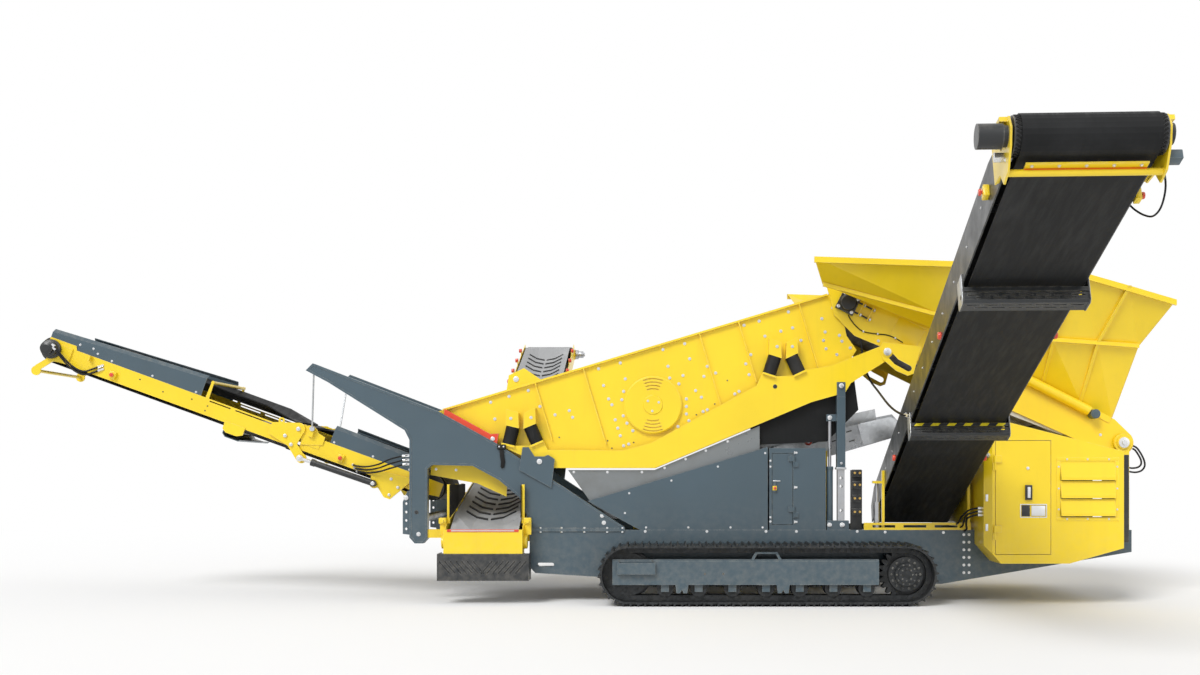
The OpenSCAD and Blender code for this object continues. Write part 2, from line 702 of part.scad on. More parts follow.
module fines_hopper() color(slate) both_sides() {
  side_plate([[-230, 1560], [800, 1560], [fines_hopper_x1, under_cradle(fines_hopper_x1) - 22],
    [fines_hopper_x1, 1010], [300, 1010], [60, 1150]], -hopper_side_y, 12);
  // Spacers to the side covers
  for (at = [[650, 1200], [fines_hopper_x1 - 200, 1450]])
    box([at[0], -beam_y1 + cover_t, at[1]], [at[0] + 80, -hopper_side_y + weld, at[1] + 80]);
}

module rubber_curtains() color(rubber) both_sides() side_plate([feed(-875, -1429), feed(-277, -1189),
  feed(-77, -1119), feed(243, -979), feed(300, -1400), feed(-77, -1779), feed(-875, -1819)],
    -screen_y1 - 10, 10);

module side_covers() color(slate) both_sides() side_plate([[10, 1192], [cabinet_x0 - 20, cabinet_top + 12],
  [cabinet_x0 - 20, chassis_top], [629, chassis_top], [451, 945]], -beam_y1, cover_t);

module control_cabinet() color(slate) {
  y0 = -beam_y1;
  t = cabinet_t;
  difference() {
    box([cabinet_x0, y0, chassis_top], [cabinet_x1, y0 + cabinet_depth, cabinet_top]);
    box([cabinet_x0 + t, y0 + t, chassis_top + t], [cabinet_x1 - t, y0 + cabinet_depth - t, cabinet_top - t]);
    box([cabinet_door_x, y0 - weld, chassis_top + cabinet_door_edge],
      [cabinet_door_x + cabinet_door_w, y0 + t + weld, cabinet_top - cabinet_door_edge]);
  }
  for (z = cabinet_hinges) {
    fixed_knuckle([cabinet_hinge_x, cabinet_hinge_y], z, cabinet_knuckle);
    box([cabinet_hinge_x, cabinet_hinge_y - 5, z], [cabinet_hinge_x + 50, y0 + weld, z + cabinet_knuckle]);
  }
  // The far side has the same box with a plain face
  mirror([0, 1, 0]) box([cabinet_x0, y0, chassis_top], [cabinet_x1, y0 + 60, cabinet_top]);
}

module cabinet_door() color(slate) {
  x0 = cabinet_door_x + door_gap;
  x1 = cabinet_door_x + cabinet_door_w - door_gap;
  box([x0, -beam_y1, chassis_top + cabinet_door_edge + door_gap],
    [x1, -beam_y1 + cabinet_t, cabinet_top - cabinet_door_edge - door_gap]);
  for (z = cabinet_hinges) {
    leaf = z + cabinet_knuckle + hinge_step;
    leaf_knuckle([cabinet_hinge_x, cabinet_hinge_y], z, cabinet_knuckle);
    box([x1 - 50, cabinet_hinge_y - 5, leaf],
      [cabinet_hinge_x - hinge_pin_r - 2, cabinet_hinge_y + 5, leaf + cabinet_knuckle]);
    box([x1 - 50, cabinet_hinge_y - 5, leaf], [x1 - 8, -beam_y1 + weld, leaf + cabinet_knuckle]);
  }
  // Handle
  box([x0 + 14, -beam_y1 - 30, 1300], [x0 + 34, -beam_y1 + weld, 1420]);
}

// Fines conveyor under the screen

module on_fines() translate([fines_tail[0], 0, fines_tail[1]]) rotate([0, -screen_slope, 0]) children();

module fines_conveyor_frame() color(bright) on_fines() {
  both_sides() side_plate([[-150, -95], [fines_length + 100, -130], [fines_length + 170, 0],
    [fines_length + 100, 150], [fines_length - 1050, 260], [200, 170], [-150, 95]],
      -fines_y1, fines_y1 - fines_y0);
  for (x = [300, fines_length / 2 - 225, fines_length - 750]) cross_bar([x, 0], 35, -fines_y0, fines_y0);
  for (x = [0, fines_length]) cross_bar([x, 0], drum_fit(fines_drum_r), -fines_y0, fines_y0);
}

module fines_belt() color(rubber) on_fines() belt_loop(fines_length, fines_drum_r, fines_belt_w, 60, 500);

// Feeder and hopper

module on_feeder() translate([feeder_head[0], 0, feeder_head[1]]) rotate([0, feeder_slope, 0]) children();

// Quadrant plate that hangs from the feeder outside the cradle's arm, slotted for the link pin
quadrant_y0 = cradle_y1 + 2;
quadrant_y1 = quadrant_y0 + 12;
quadrant_outline = [[-90, 40], [-48, -93], [110, -226], [244, -284], [312, -260], [402, 64], [-48, 115]];

module quadrant() difference() {
  union() {
    translate([link_pin[0], 0, link_pin[1]])
      side_plate(quadrant_outline, -quadrant_y1, quadrant_y1 - quadrant_y0);
    box([link_pin[0] + 142, -quadrant_y1, link_pin[1] - 10],
      [link_pin[0] + 342, -feeder_y1 + weld, link_pin[1] + 55]);
  }
  // Curved slot, in two straight runs
  slot_r = link_pin_r + 2;
  bend = link_pin + [111, -118];
  end = link_pin + [255, -196];
  for (run = [[link_pin, bend], [bend, end]]) {
    d = run[1] - run[0];
    translate([run[0][0], -quadrant_y0 + weld, run[0][1]]) rotate([90, 0, 0]) linear_extrude(14)
      rotate(atan2(d[1], d[0])) translate([norm(d) / 2, 0]) stadium(norm(d), slot_r);
  }
}

module feeder_frame() color(yellow) {
  both_sides() {
    on_feeder() difference() {
      union() {
        side_plate([[-310, 60], [-290, 120], [-60, feeder_top], [feeder_length - 200, feeder_top],
          [feeder_length + 60, 130], [feeder_length + 60, -140], [feeder_length - 250, -200],
          [2300, feeder_low], [560, -285], [250, -310], [-80, -200], [-200, -60]],
            -feeder_y1, feeder_plate_t);
        cross_bar([feeder_length, 0], 142, -feeder_y1, -feeder_y0);
        // Lower flange and take-up plates of the head bearing
        box([820, -feeder_y1 - 50, feeder_low], [1560, -feeder_y0, feeder_low + 16]);
        for (x = [165, 290]) box([x, -feeder_y1 - 46, -95], [x + 14, -feeder_y1 + weld, 95]);
      }
      cross_bar([0, 0], feeder_shaft_r + 15, -feeder_y1 - weld, -feeder_y0 + weld);
      for (z = [-62, 62]) translate([150, -feeder_y1 - 24, z]) rotate([0, 90, 0])
        cylinder(r = 10 + fit_gap, h = 170);
    }
    quadrant();
    // Tail pin that turns in the rear post
    on_feeder() {
      cross_bar([feeder_length, 0], tail_pin_r, -tail_post_y - tail_post_t - 20, -feeder_y1 + weld);
      cross_bar([feeder_length, 0], 76, -tail_post_y - tail_post_t - 20, -tail_post_y - tail_post_t - 6);
    }
  }
  for (x = [500, 1500, 2500]) on_feeder() cross_bar([x, 0], 45, -feeder_y0, feeder_y0);
}

module feeder_belt() color(rubber) on_feeder() belt_loop(feeder_length, feeder_drum_r, feeder_belt_w, 0, 300);

module feeder_drums() color(slate) on_feeder() {
  half = feeder_belt_w / 2 + 10;
  for (x = [0, feeder_length]) cross_bar([x, 0], drum_fit(feeder_drum_r), -half, half);
  cross_bar([0, 0], feeder_shaft_r, -feeder_y1 - 40, feeder_y1 + 40);
  cross_bar([feeder_length, 0], feeder_shaft_r, -feeder_y0, feeder_y0);
}

// Flanged head bearings with the take-up screws that draw them along the slope
module feeder_bearings() color(slate) both_sides() on_feeder() {
  difference() {
    union() {
      translate([0, -feeder_y1 - 20, 0]) cube([bearing_side, 40, bearing_side], center = true);
      translate([0, -feeder_y1 - 39, 0]) rotate([90, 0, 0]) cylinder(r1 = 105, r2 = 85, h = 35);
    }
    translate([0, -feeder_y1 - 40, 0]) rotate([-90, 0, 0]) cylinder(r = feeder_shaft_r + fit_gap, h = 60);
  }
  for (z = [-62, 62]) translate([bearing_side / 2 - 2, -feeder_y1 - 24, z]) rotate([0, 90, 0])
    cylinder(r = 10, h = 222);
}

// Rear posts on the chassis that carry the feeder's tail
module feeder_posts() color(yellow) both_sides() difference() {
  union() {
    box([feeder_tail[0] - 70, -tail_post_y - tail_post_t, chassis_top],
      [feeder_tail[0] + 70, -tail_post_y, feeder_tail[1]]);
    cross_bar(feeder_tail, 108, -tail_post_y - tail_post_t, -tail_post_y);
  }
  cross_bar(feeder_tail, tail_pin_r + fit_gap, -tail_post_y - tail_post_t - weld, -tail_post_y + weld);
}

// Hopper walls: grid of points from the feeder plate up to the rim, front to rear
hopper_half = hopper_width / 2;
hopper_mid = feeder_y1 + 0.52 * (hopper_half - feeder_y1);
hopper_t_of = [0, 0.4, 0.73, 0.87, 1];
hopper_foot_x = [120, 1300, 2500, 3000, feeder_length - 248];
rim_bulge = [0, 141, 190, 94, 0];
mid_sag = [0, -105, -122, -58, 0];
function between(a, b, t) = a + (b - a) * t;
function hopper_row(front, rear, y, bulge) = [for (j = [0 : 4])
  let (p = between(front, rear, hopper_t_of[j])) [p[0], y, p[1] + bulge[j]]];
function hopper_foot(z) = [for (x = hopper_foot_x)
  let (p = feeder_point(x, z)) [p[0], feeder_y1 + face_gap, p[1]]];
hopper_grid = [
  hopper_foot(feeder_top - 70),
  hopper_foot(feeder_top),
  hopper_row(feeder_head + [-346, 169], feeder_tail + [56, 1114], hopper_mid, mid_sag),
  hopper_row(feeder_head + [-485, 437], feeder_tail + [366, 1612], hopper_half, rim_bulge)];

// Closed sheet over a grid of points, thickened by a shift
module grid_sheet(grid, shift) {
  m = len(grid);
  n = len(grid[0]);
  k = m * n;
  function id(i, j) = i * n + j;
  skin = [for (i = [0 : m - 2]) for (j = [0 : n - 2]) each
    [[id(i, j), id(i, j + 1), id(i + 1, j + 1)], [id(i, j), id(i + 1, j + 1), id(i + 1, j)]]];
  rim = concat([for (j = [0 : n - 1]) id(0, j)], [for (i = [1 : m - 1]) id(i, n - 1)],
    [for (j = [n - 2 : -1 : 0]) id(m - 1, j)], [for (i = [m - 2 : -1 : 1]) id(i, 0)]);
  c = len(rim);
  edge = [for (i = [0 : c - 1]) let (a = rim[i], b = rim[(i + 1) % c]) each [[b, a, a + k],
    [b, a + k, b + k]]];
  back = [for (f = skin) [f[2] + k, f[1] + k, f[0] + k]];
  all = concat([for (r = grid) each r], [for (r = grid) for (p = r) p + shift]);
  polyhedron(points = all, faces = concat(skin, back, edge));
}

// Rectangular section about a point, spanning two directions from low to high
function bar_section(p, u, v, low, high) = [for (c = [[1, 0], [0, 0], [0, 1], [1, 1]])
  p + u * (c[0] ? high[0] : low[0]) + v * (c[1] ? high[1] : low[1])];

module hopper_walls() color(yellow) both_sides() mirror([0, 1, 0]) {
  out = [0, 1, 0];
  up = [0, 0, 1];
  along = [1, 0, 0];
  grid_sheet([for (i = [3 : -1 : 0]) hopper_grid[i]], [0, hopper_t, 0]);
  // Folded rim lip and stiffener along the middle row
  loft([for (p = hopper_grid[3]) bar_section(p, out, up, [hopper_t / 2, -66], [hopper_t + 30, 0])], false);
  loft([for (p = hopper_grid[2]) bar_section(p, out, up, [hopper_t / 2, -22], [hopper_t + 50, 22])], false);
  // Upright ribs, tapering towards the foot
  for (j = [1 : 3]) loft([for (i = [1 : 3]) bar_section(hopper_grid[i][j], along, out,
    [-18, hopper_t / 2], [18, hopper_t + (i == 1 ? 14 : 46)])], false);
  // Hinge tube along the foot
  on_feeder() translate([1300, feeder_y1 + 64, feeder_top - 60]) rotate([0, 90, 0])
    cylinder(r = 58, h = 1830);
}

module hopper_back_wall() color(yellow) {
  gap = 0.5;
  ends = [for (i = [1 : 3]) hopper_grid[i][4]];
  grid_sheet([for (p = ends) [for (y = [-1, 0, 1]) [p[0] + gap, y * p[1], p[2]]]], [hopper_t, 0, 0]);
  for (share = [-0.55, 0, 0.55]) loft([for (p = ends) bar_section([p[0] + gap, share * p[1], p[2]],
    [1, 0, 0], [0, 1, 0], [hopper_t / 2, -22], [hopper_t + 44, 22])], false);
}

// Power pack housing

function roof_z(x) = housing_eave - (x - housing_x0) * housing_fall;

function housing_outline(inset) = [
  [housing_x0 + inset, roof_z(housing_x0) - inset], [housing_x1 - inset, roof_z(housing_x1) - inset],
  [housing_x1 - inset, 665 + inset], [housing_x1 - 624, housing_z0 + inset],
  [housing_x0 + 179, housing_z0 + inset], [housing_x0 + inset, 690 + inset]];

module housing_form(inset) intersection() {
  side_plate(housing_outline(inset), -housing_y + inset, housing_width - 2 * inset);
  c = housing_chamfer;
  linear_extrude(3000) polygon([
    [housing_x0 + inset, -housing_y + c + inset / 2], [housing_x0 + c + inset / 2, -housing_y + inset],
    [housing_x1 - inset, -housing_y + inset], [housing_x1 - inset, housing_y - inset],
    [housing_x0 + c + inset / 2, housing_y - inset], [housing_x0 + inset, housing_y - c - inset / 2]]);
}

module engine_housing() color(yellow) {
  saddle_y = beam_y1 + 4;
  skin = -housing_y + housing_t + weld;
  difference() {
    housing_form(0);
    difference() {
      housing_form(housing_t);
      // Tunnel over the chassis beams
      box([housing_x0, -saddle_y - housing_t, 0],
        [housing_x1, saddle_y + housing_t, chassis_top + housing_t]);
    }
    box([housing_x0 - weld, -saddle_y, 0], [housing_x1 + weld, saddle_y, chassis_top]);
    box([door_cut_x0, -housing_y - weld, door_z[0]], [door_cut_x0 + door_w, skin, door_z[1]]);
    // Air inlet behind the louvres, both sides, and outlet to the radiator
    both_sides() box([louvre_x0, -housing_y - weld, louvre_z[0]], [louvre_x1, skin, louvre_z[1]]);
    box([housing_x1 - housing_t - weld, -800, 950], [housing_x1 + weld, 800, 1600]);
  }
  // Hooded louvre slats
  h = (louvre_z[1] - louvre_z[0]) / louvre_count;
  both_sides() for (i = [0 : louvre_count - 1]) {
    z = louvre_z[0] + i * h;
    side = -housing_y;
    translate([louvre_x0 - weld, 0, 0]) rotate([90, 0, 90]) linear_extrude(louvre_x1 - louvre_x0 + 2 * weld)
      polygon([[side - 34, z + 10], [side - 34, z + 40], [side + 2, z + h + 2], [side + 18, z + h + 2],
        [side + 18, z + h - 12], [side - 22, z + 34], [side - 22, z + 10]]);
  }
  for (z = engine_hinges) {
    fixed_knuckle([engine_hinge_x, engine_hinge_y], z, engine_knuckle);
    box([engine_hinge_x - 22, engine_hinge_y - 5, z],
      [engine_hinge_x, -housing_y + weld, z + engine_knuckle]);
  }
}

module engine_door() color(yellow) {
  x0 = door_cut_x0 + door_gap;
  x1 = door_cut_x0 + door_w - door_gap;
  difference() {
    box([x0, -housing_y, door_z[0] + door_gap], [x1, -housing_y + housing_t, door_z[1] - door_gap]);
    // Recess of the flush latch
    box([x1 - 344, -housing_y - weld, 1020], [x1 - 47, -housing_y + 12, 1165]);
  }
  for (z = engine_hinges) {
    leaf = z + engine_knuckle + hinge_step;
    leaf_knuckle([engine_hinge_x, engine_hinge_y], z, engine_knuckle);
    box([engine_hinge_x + hinge_pin_r + 2, engine_hinge_y - 5, leaf],
      [x0 + 60, engine_hinge_y + 5, leaf + engine_knuckle]);
    box([x0 + 8, engine_hinge_y - 5, leaf], [x0 + 60, -housing_y + weld, leaf + engine_knuckle]);
  }
  // Pull handle
  box([x1 - 294, -housing_y - 30, 1220], [x1 - 220, -housing_y + weld, 1386]);
}

module power_pack() color(slate) {
  box([housing_x0 + 300, -700, chassis_top + housing_t], [housing_x0 + 900, 500, 1480]);
  box([housing_x1 - 330, -760, chassis_top + housing_t], [housing_x1 - 120, 760, 1580]);
}

module radiator_guard() color(rubber) {
  x = housing_x1;
  difference() {
    box([x, -housing_y + 100, 725], [x + 95, housing_y - 100, 1735]);
    box([x - weld, -790, 960], [x + 96, 790, 1590]);
    // Gap over the chassis
    box([x - weld, -beam_y1 - 6, 700], [x + 96, beam_y1 + 6, chassis_top + 6]);
  }
  for (z = [1040 : 100 : 1540]) box([x + 10, -795, z], [x + 40, 795, z + 36]);
}

// Front conveyor

module on_front() translate([hinge_pos[0], 0, hinge_pos[1]]) rotate([0, front_slope, 0]) children();

module inner_frame() color(yellow) on_front() {
  tail = front_inner_length;
  both_sides() {
    difference() {
      union() {
        side_plate([[70, front_top_z], [tail + 120, front_top_z], [tail + 120, front_low_z + 40],
          [tail - 150, front_low_z], [70, front_low_z]], -front_y1, front_plate_t);
        // Hinge lug with its lobes, spaced off the plate so that the outer frame folds past it
        side_plate([[-45, 60], [60, 75], [330, 10], [330, front_top_z - 60], [70, front_low_z + 60],
          [70, -60], [-30, -50]], -lug_y1, lug_y1 - lug_y0);
        cross_bar([138, -24], 112, -lug_y1, -lug_y0);
        cross_bar([0, 0], 72, -lug_y1, -lug_y0);
        box([110, -lug_y0 - weld, front_low_z + 80], [300, -front_y1 + weld, front_top_z - 20]);
        // Cylinder bracket
        side_plate([[1010, -150], [1465, -100], [1480, -160], [1325, -425], [1250, -425], [1150, -345],
          [1030, -330]], -lever_y1, lever_y1 - front_y1 + weld);
        cross_bar(barrel_pin, 60, -lever_y1, -front_y1 + weld);
        // Hanger tube and flange on the front frame post
        cross_bar([tail - 70, -180], 55, -beam_y0, -front_y1 + weld);
        cross_bar([tail - 70, -180], 95, -beam_y0, -beam_y0 + flange_t);
      }
      cross_bar([0, 0], pivot_pin_r + fit_gap, -lug_y1 - weld, -lug_y0 + weld);
      cross_bar([170, 8], 20, -lug_y1 - weld, -lug_y0 + weld);
    }
    // Pin that carries the cylinder
    cross_bar(barrel_pin, fold_pin_r, -cylinder_y - 34, -lever_y0);
    // Eye for the stay
    cross_bar(stay_eye, 34, -front_y1 - 60, -front_y1 - 40);
    side_plate([stay_eye + [-30, -100], stay_eye + [30, -100], stay_eye + [30, 0], stay_eye + [-30, 0]],
      -front_y1 - 60, 60 + weld);
  }
  for (x = [450, 1250]) cross_bar([x, -130], 38, -front_y0, front_y0);
}

// One side of the folded belt: from the hinge round a drum and back
module half_belt(drum_x) {
  top = front_axis_z + front_drum_r;
  loft(concat(
    [belt_section([fold_gap, top], 0, front_belt_w, hinge_belt_lift)],
    [for (x = [fold_gap + belt_ease, drum_x - belt_ease])
      belt_section([x, top], 0, front_belt_w, front_lift)],
    drum_wrap([drum_x, front_axis_z], front_drum_r, 0, 180, front_belt_w),
    [belt_section([fold_gap, front_axis_z - front_drum_r], 180, front_belt_w, 2)]), false);
}

module inner_belt() color(rubber) on_front() half_belt(front_inner_length);
module outer_belt() color(rubber) on_front() mirror([1, 0, 0]) half_belt(front_outer_length);

// Skirt plate on the frame with its top strip folded inwards; outline runs under, then over from x1 to x0
module skirt(foot, x0, x1, tall) both_sides() {
  strip = [[0, 0], [-46, 42], [-46, 34], [0, -8]];
  side_plate(concat(foot, [[x1, tall[1]], [x0, tall[0]]]), -front_y1, front_plate_t);
  loft([for (end = [[x0, tall[0]], [x1, tall[1]]])
    [for (p = strip) [end[0], -front_y1 - p[0], end[1] + p[1]]]], false);
}

module inner_skirts() color(slate) on_front()
  skirt([[405, front_top_z], [front_inner_length - 250, front_top_z]],
    405, front_inner_length - 250, [150, 132]);

module front_tail_drum() color(slate) on_front()
  cross_bar([front_inner_length, front_axis_z], drum_fit(front_drum_r), -front_y0, front_y0);

module outer_frame() color(yellow) on_front() {
  both_sides() {
    difference() {
      union() {
        side_plate([[head_x - 80, front_top_z - 30], [head_x - 70, 20], [head_x + 260, 20],
          [head_x + 280, front_top_z], [-60, front_top_z], [-60, front_low_z], [head_x + 60, front_low_z],
            [head_x - 80, front_low_z + 60]],
          -front_y1, front_plate_t);
        // Ears of the hoop over the belt
        side_plate([[hoop_x - 22, front_top_z - weld], [hoop_x + 22, front_top_z - weld], [hoop_x + 14, 190],
          [hoop_x - 14, 190]], -front_y1, front_plate_t);
      }
      // Long slots under the top edge
      for (run = [[-1145, -873], [-810, -330]])
        box([run[0], -front_y1 - weld, front_top_z - 34], [run[1], -front_y0 + weld, front_top_z - 18]);
    }
    // Head bracket that reaches down to the scraper
    side_plate([[head_x - 100, front_top_z], [head_x + 240, front_top_z], [head_x + 240, -225],
      [head_x + 60, -250], [head_x - 50, -390], scraper_at + [10, -56], scraper_at + [-56, -10],
        [head_x - 120, -360], [head_x - 20, -240],
      [head_x - 110, -200]], -head_plate_y, head_plate_y - front_y1 + weld);
    cross_bar(scraper_at, 57, -head_plate_y, -front_y1 + weld);
    // Take-up ear
    box([head_x + 470, -front_y1 - 60, front_top_z - 70],
      [head_x + 484, -front_y1 + weld, front_top_z - weld]);
    // Hinge plate and lever, outside the inner lug
    difference() {
      union() {
        side_plate([[-330, front_top_z], [-60, 60], [40, 55], [70, -20], [40, -180], rod_eye + [55, 20],
          rod_eye + [30, -55], rod_eye + [-50, -40], [-60, front_low_z], [-330, front_low_z + 60]],
          -lever_y1, lever_y1 - lever_y0);
        cross_bar([0, 0], 76, -lever_y1, -lever_y0);
        cross_bar(rod_eye, 60, -lever_y1, -lever_y0);
        cross_bar([-230, 26], 38, -lever_y1, -lever_y0);
        for (at = [[-125, -132], [-21, -208]]) cross_bar(at, 26, -lever_y1 - 9, -lever_y1 + weld);
      }
      cross_bar([-230, 30], 17, -lever_y1 - weld, -lever_y0 + weld);
    }
    side_plate([[-330, front_top_z], [-130, front_top_z], [-130, front_low_z + 20], [-330, front_low_z + 60]],
      -lever_y1 + weld, lever_y1 - front_y1);
    // Hinge pin
    cross_bar([0, 0], pivot_pin_r, -lever_y1 - 12, -lug_y0);
    // Bracket of the guard trough
    side_plate([[trough_x[0] - 10, front_low_z + 20], [trough_x[1] + 10, front_low_z + 20],
      [trough_x[1] + 10, -310], [trough_x[1] - 60, -345], [trough_x[0] + 40, -345],
        [trough_x[0] - 10, -310]], -head_plate_y,
      head_plate_y - front_y1 + weld);
  }
  cross_bar(scraper_at, 20, -front_y1, front_y1);
  cross_bar([hoop_x, 168], 20, -front_y1 + weld, front_y1 - weld);
  for (x = [-600, -1500, -2400]) cross_bar([x, -130], 38, -front_y0, front_y0);
}

// Skirts of the outer belt and the trough under it that guards the return rollers
module outer_skirts() color(slate) on_front() {
  x1 = hoop_x - 84;
  skirt([[head_x - 70, 20], [head_x + 270, 20], [head_x + 290, front_top_z], [x1, front_top_z]],
    head_x - 70, x1, [86, 190]);
  a = trough_x[0];
  b = trough_x[1];
  side_plate([[a, -290], [a, -365], [a + 45, -400], [b - 23, -400], [b, -376], [b - 7, -371], [b - 27, -392],
    [a + 48, -392], [a + 8, -361], [a + 8, -290]], -front_y1 + weld, 2 * (front_y1 - weld));
}

// Head drum and its motor outside the near plate
module front_head_drum() color(slate) on_front() {
  cross_bar([head_x, front_axis_z], drum_fit(front_drum_r), -front_y0, front_y0);
  translate([head_x, -head_plate_y, front_axis_z]) rotate([90, 0, 0]) rotate_extrude() polygon([[0, 0],
    [116, 0], [116, 38], [98, 52], [98, 96], [74, 108], [74, 150], [40, 162], [0, 162]]);
}

// Stays between the arm tips and the front conveyor
module front_stays() color(bright) both_sides() {
  a = [hinge_pos[0] + stay_eye[0] * cos(front_slope) + stay_eye[1] * sin(front_slope), -front_y1 - 70,
    hinge_pos[1] - stay_eye[0] * sin(front_slope) + stay_eye[1] * cos(front_slope)];
  b = [-3270, -beam_y0 + 12, 2735];
  d = b - a;
  translate(a + 0.03 * d) rotate([0, acos(d[2] / norm(d)), atan2(d[1], d[0])])
    cylinder(r = 10, h = 0.97 * norm(d));
  translate(a + [0, 10, 0]) rotate([90, 0, 0]) cylinder(r = 30, h = 20);
  translate([b[0], -beam_y0, b[2]]) rotate([-90, 0, 0]) cylinder(r = 32, h = 24);
}

// Fold cylinders, laid along the line from the barrel pin to the rod eye
module on_cylinder(side) on_front() translate([barrel_pin[0], side * cylinder_y, barrel_pin[1]])
  rotate([0, -atan2(barrel_pin[1] - rod_eye[1], barrel_pin[0] - rod_eye[0]), 0]) mirror([1, 0, 0]) children();

module fold_barrel(side) color(rubber) on_cylinder(side) difference() {
  union() {
    rotate([0, 90, 0]) translate([0, 0, 30]) cylinder(r = cylinder_r, h = barrel_end - 30);
    rotate([0, 90, 0]) translate([0, 0, barrel_end - 50]) cylinder(r = cylinder_r + 6, h = 50);
    rotate([90, 0, 0]) cylinder(r = eye_r, h = 50, center = true);
  }
  rotate([90, 0, 0]) cylinder(r = fold_pin_r + fit_gap, h = 60, center = true);
  rotate([0, 90, 0]) translate([0, 0, 120]) cylinder(r = rod_r + fit_gap, h = barrel_end);
}

module fold_rod(side) color(bright) on_cylinder(side) {
  rotate([0, 90, 0]) translate([0, 0, 135]) cylinder(r = rod_r, h = cylinder_pitch - 135);
  translate([cylinder_pitch, 0, 0]) rotate([90, 0, 0]) cylinder(r = eye_r, h = 52, center = true);
}

module fold_barrel_near() fold_barrel(-1);
module fold_barrel_far() fold_barrel(1);
module fold_rod_near() fold_rod(-1);
module fold_rod_far() fold_rod(1);

// Side conveyor

module on_side() translate(side_tail) rotate([0, 0, -90 - side_yaw]) rotate([0, -side_slope, 0]) children();

module side_frame() color(slate) on_side() both_sides() side_plate([[-160, -100], [-160, 120], [200, 250],
  [side_length - 700, 250], [side_length - 330, 200], [side_length - 300, -100]], -side_y1, side_plate_t);

// Yellow steelwork of the side conveyor: towers and sill on the near chassis beam, brackets at the head
module side_towers() color(yellow) {
  translate([side_tail[0], side_tail[1], 0]) rotate([0, 0, -90 - side_yaw]) {
    both_sides() box([tower_x - 40, side_y1, chassis_top], [tower_x + 40, side_y1 + tower_t, tower_z + 120]);
    // Lug over the lift cylinder
    box([tower_x - 40, -side_y1 - tower_t - 110, side_lift_z],
      [tower_x + 40, -side_y1 - tower_t + weld, side_lift_z + 30]);
  }
  // Slotted sill in front of the tail
  sill = [side_tail[0] - 800, housing_x0 - 40];
  difference() {
    box([sill[0], -beam_y1, chassis_top], [sill[1], -beam_y1 + 12, chassis_top + 85]);
    for (share = [0.08, 0.37, 0.66]) {
      x = between(sill[0], sill[1], share);
      box([x, -beam_y1 - weld, chassis_top + 28], [x + 270, -beam_y1 + 13, chassis_top + 58]);
    }
  }
  l = side_length;
  on_side() {
    both_sides() {
      difference() {
        side_plate([[l - 430, -100], [l - 430, 180], [l - 60, 150], [l + 70, 110], [l + 110, 0],
          [l + 60, -110], [l - 60, -232], [l - 190, -248], [l - 260, -130]], -head_y1 - head_t, head_t);
        cross_bar([l, 0], head_shaft_r + fit_gap, -head_y1 - head_t - weld, -head_y1 + weld);
        cross_bar([l - 160, 40], 42, -head_y1 - head_t - weld, -head_y1 + weld);
      }
      box([l - 430, -head_y1 - weld, -90], [l - 335, -side_y1, 170]);
      // Arm of the take-up outside the bracket
      side_plate([[l - 200, 166], [l + 40, 124], [l + 40, 88], [l - 200, 130]], -head_y1 - head_t - 50, 51);
    }
    // Cross tube and the flange that holds the scraper blade
    cross_bar([l - 120, -205], 25, -head_y1 - weld, head_y1 + weld);
    box([l - 130, -side_belt_w / 2 + 50, -188], [l - 40, side_belt_w / 2 - 50, -176]);
  }
}

module side_belt() color(rubber) on_side() belt_loop(side_length, side_drum_r, side_belt_w, side_lift, 600);

// Drums with their shafts and the head motor, and the idler tubes between the plates
module side_drums() color(slate) on_side() {
  cross_bar([0, 0], drum_fit(side_drum_r), -side_y0, side_y0);
  for (x = [700 : 950 : side_length - 500]) cross_bar([x, 0], 32, -side_y0, side_y0);
  head = [side_length, 0];
  face = head_y1 + head_t;
  cross_bar(head, drum_fit(side_drum_r), -head_y0, head_y0);
  cross_bar(head, head_shaft_r, -face - weld, face + weld);
  for (end = [[-face - 34, -face], [face, face + 34]]) cross_bar(head, 72, end[0], end[1]);
  cross_bar(head, 84, -face - 200, -face - 33);
}

// Slate troughs that guard the return rollers, slotted in the face and the floor, each under a cross bar
module side_guards() color(rubber) on_side() for (x = guard_x) translate([x, 0, 0]) {
  d = -side_drum_r - belt_t;
  half = side_y1 / 9;
  difference() {
    side_plate([[80, d - 57], [80, d - 118], [58, d - 140], [-75, d - 140], [-97, d - 116], [-91, d - 112],
      [-71, d - 132], [55, d - 132], [72, d - 114], [72, d - 57]], -side_y1, 2 * side_y1);
    for (row = [0 : 3]) for (i = [-3 : 3 - row % 2]) {
      y = (i + row % 2 / 2) * side_y1 / 3.6;
      z = d - 84 - 22 * row;
      if (row < 2) box([71, y - half, z], [81, y + half, z + 11]);
      else box([106 - 44 * row, y - half, d - 141], [118 - 44 * row, y + half, d - 131]);
    }
  }
  box([60, -side_y1, d - 44], [80, side_y1, d - 8]);
  both_sides() side_plate([[-97, -40], [86, -40], [86, d - 120], [60, d - 146], [-78, d - 146],
    [-97, d - 120]], -side_y1 - 10, 10);
}

// Cross conveyor

module on_cross() translate([cross_x, 0, 0]) rotate([0, 0, 90]) children();

function cross_offset(d) = let (
  a = cross_tail + d * [-sin(cross_low_slope), cos(cross_low_slope)],
  m = (cross_low_slope + cross_slope) / 2,
  b = cross_bend + d / cos((cross_slope - cross_low_slope) / 2) * [-sin(m), cos(m)],
  c = cross_head + d * [-sin(cross_slope), cos(cross_slope)]) [a, b, c];

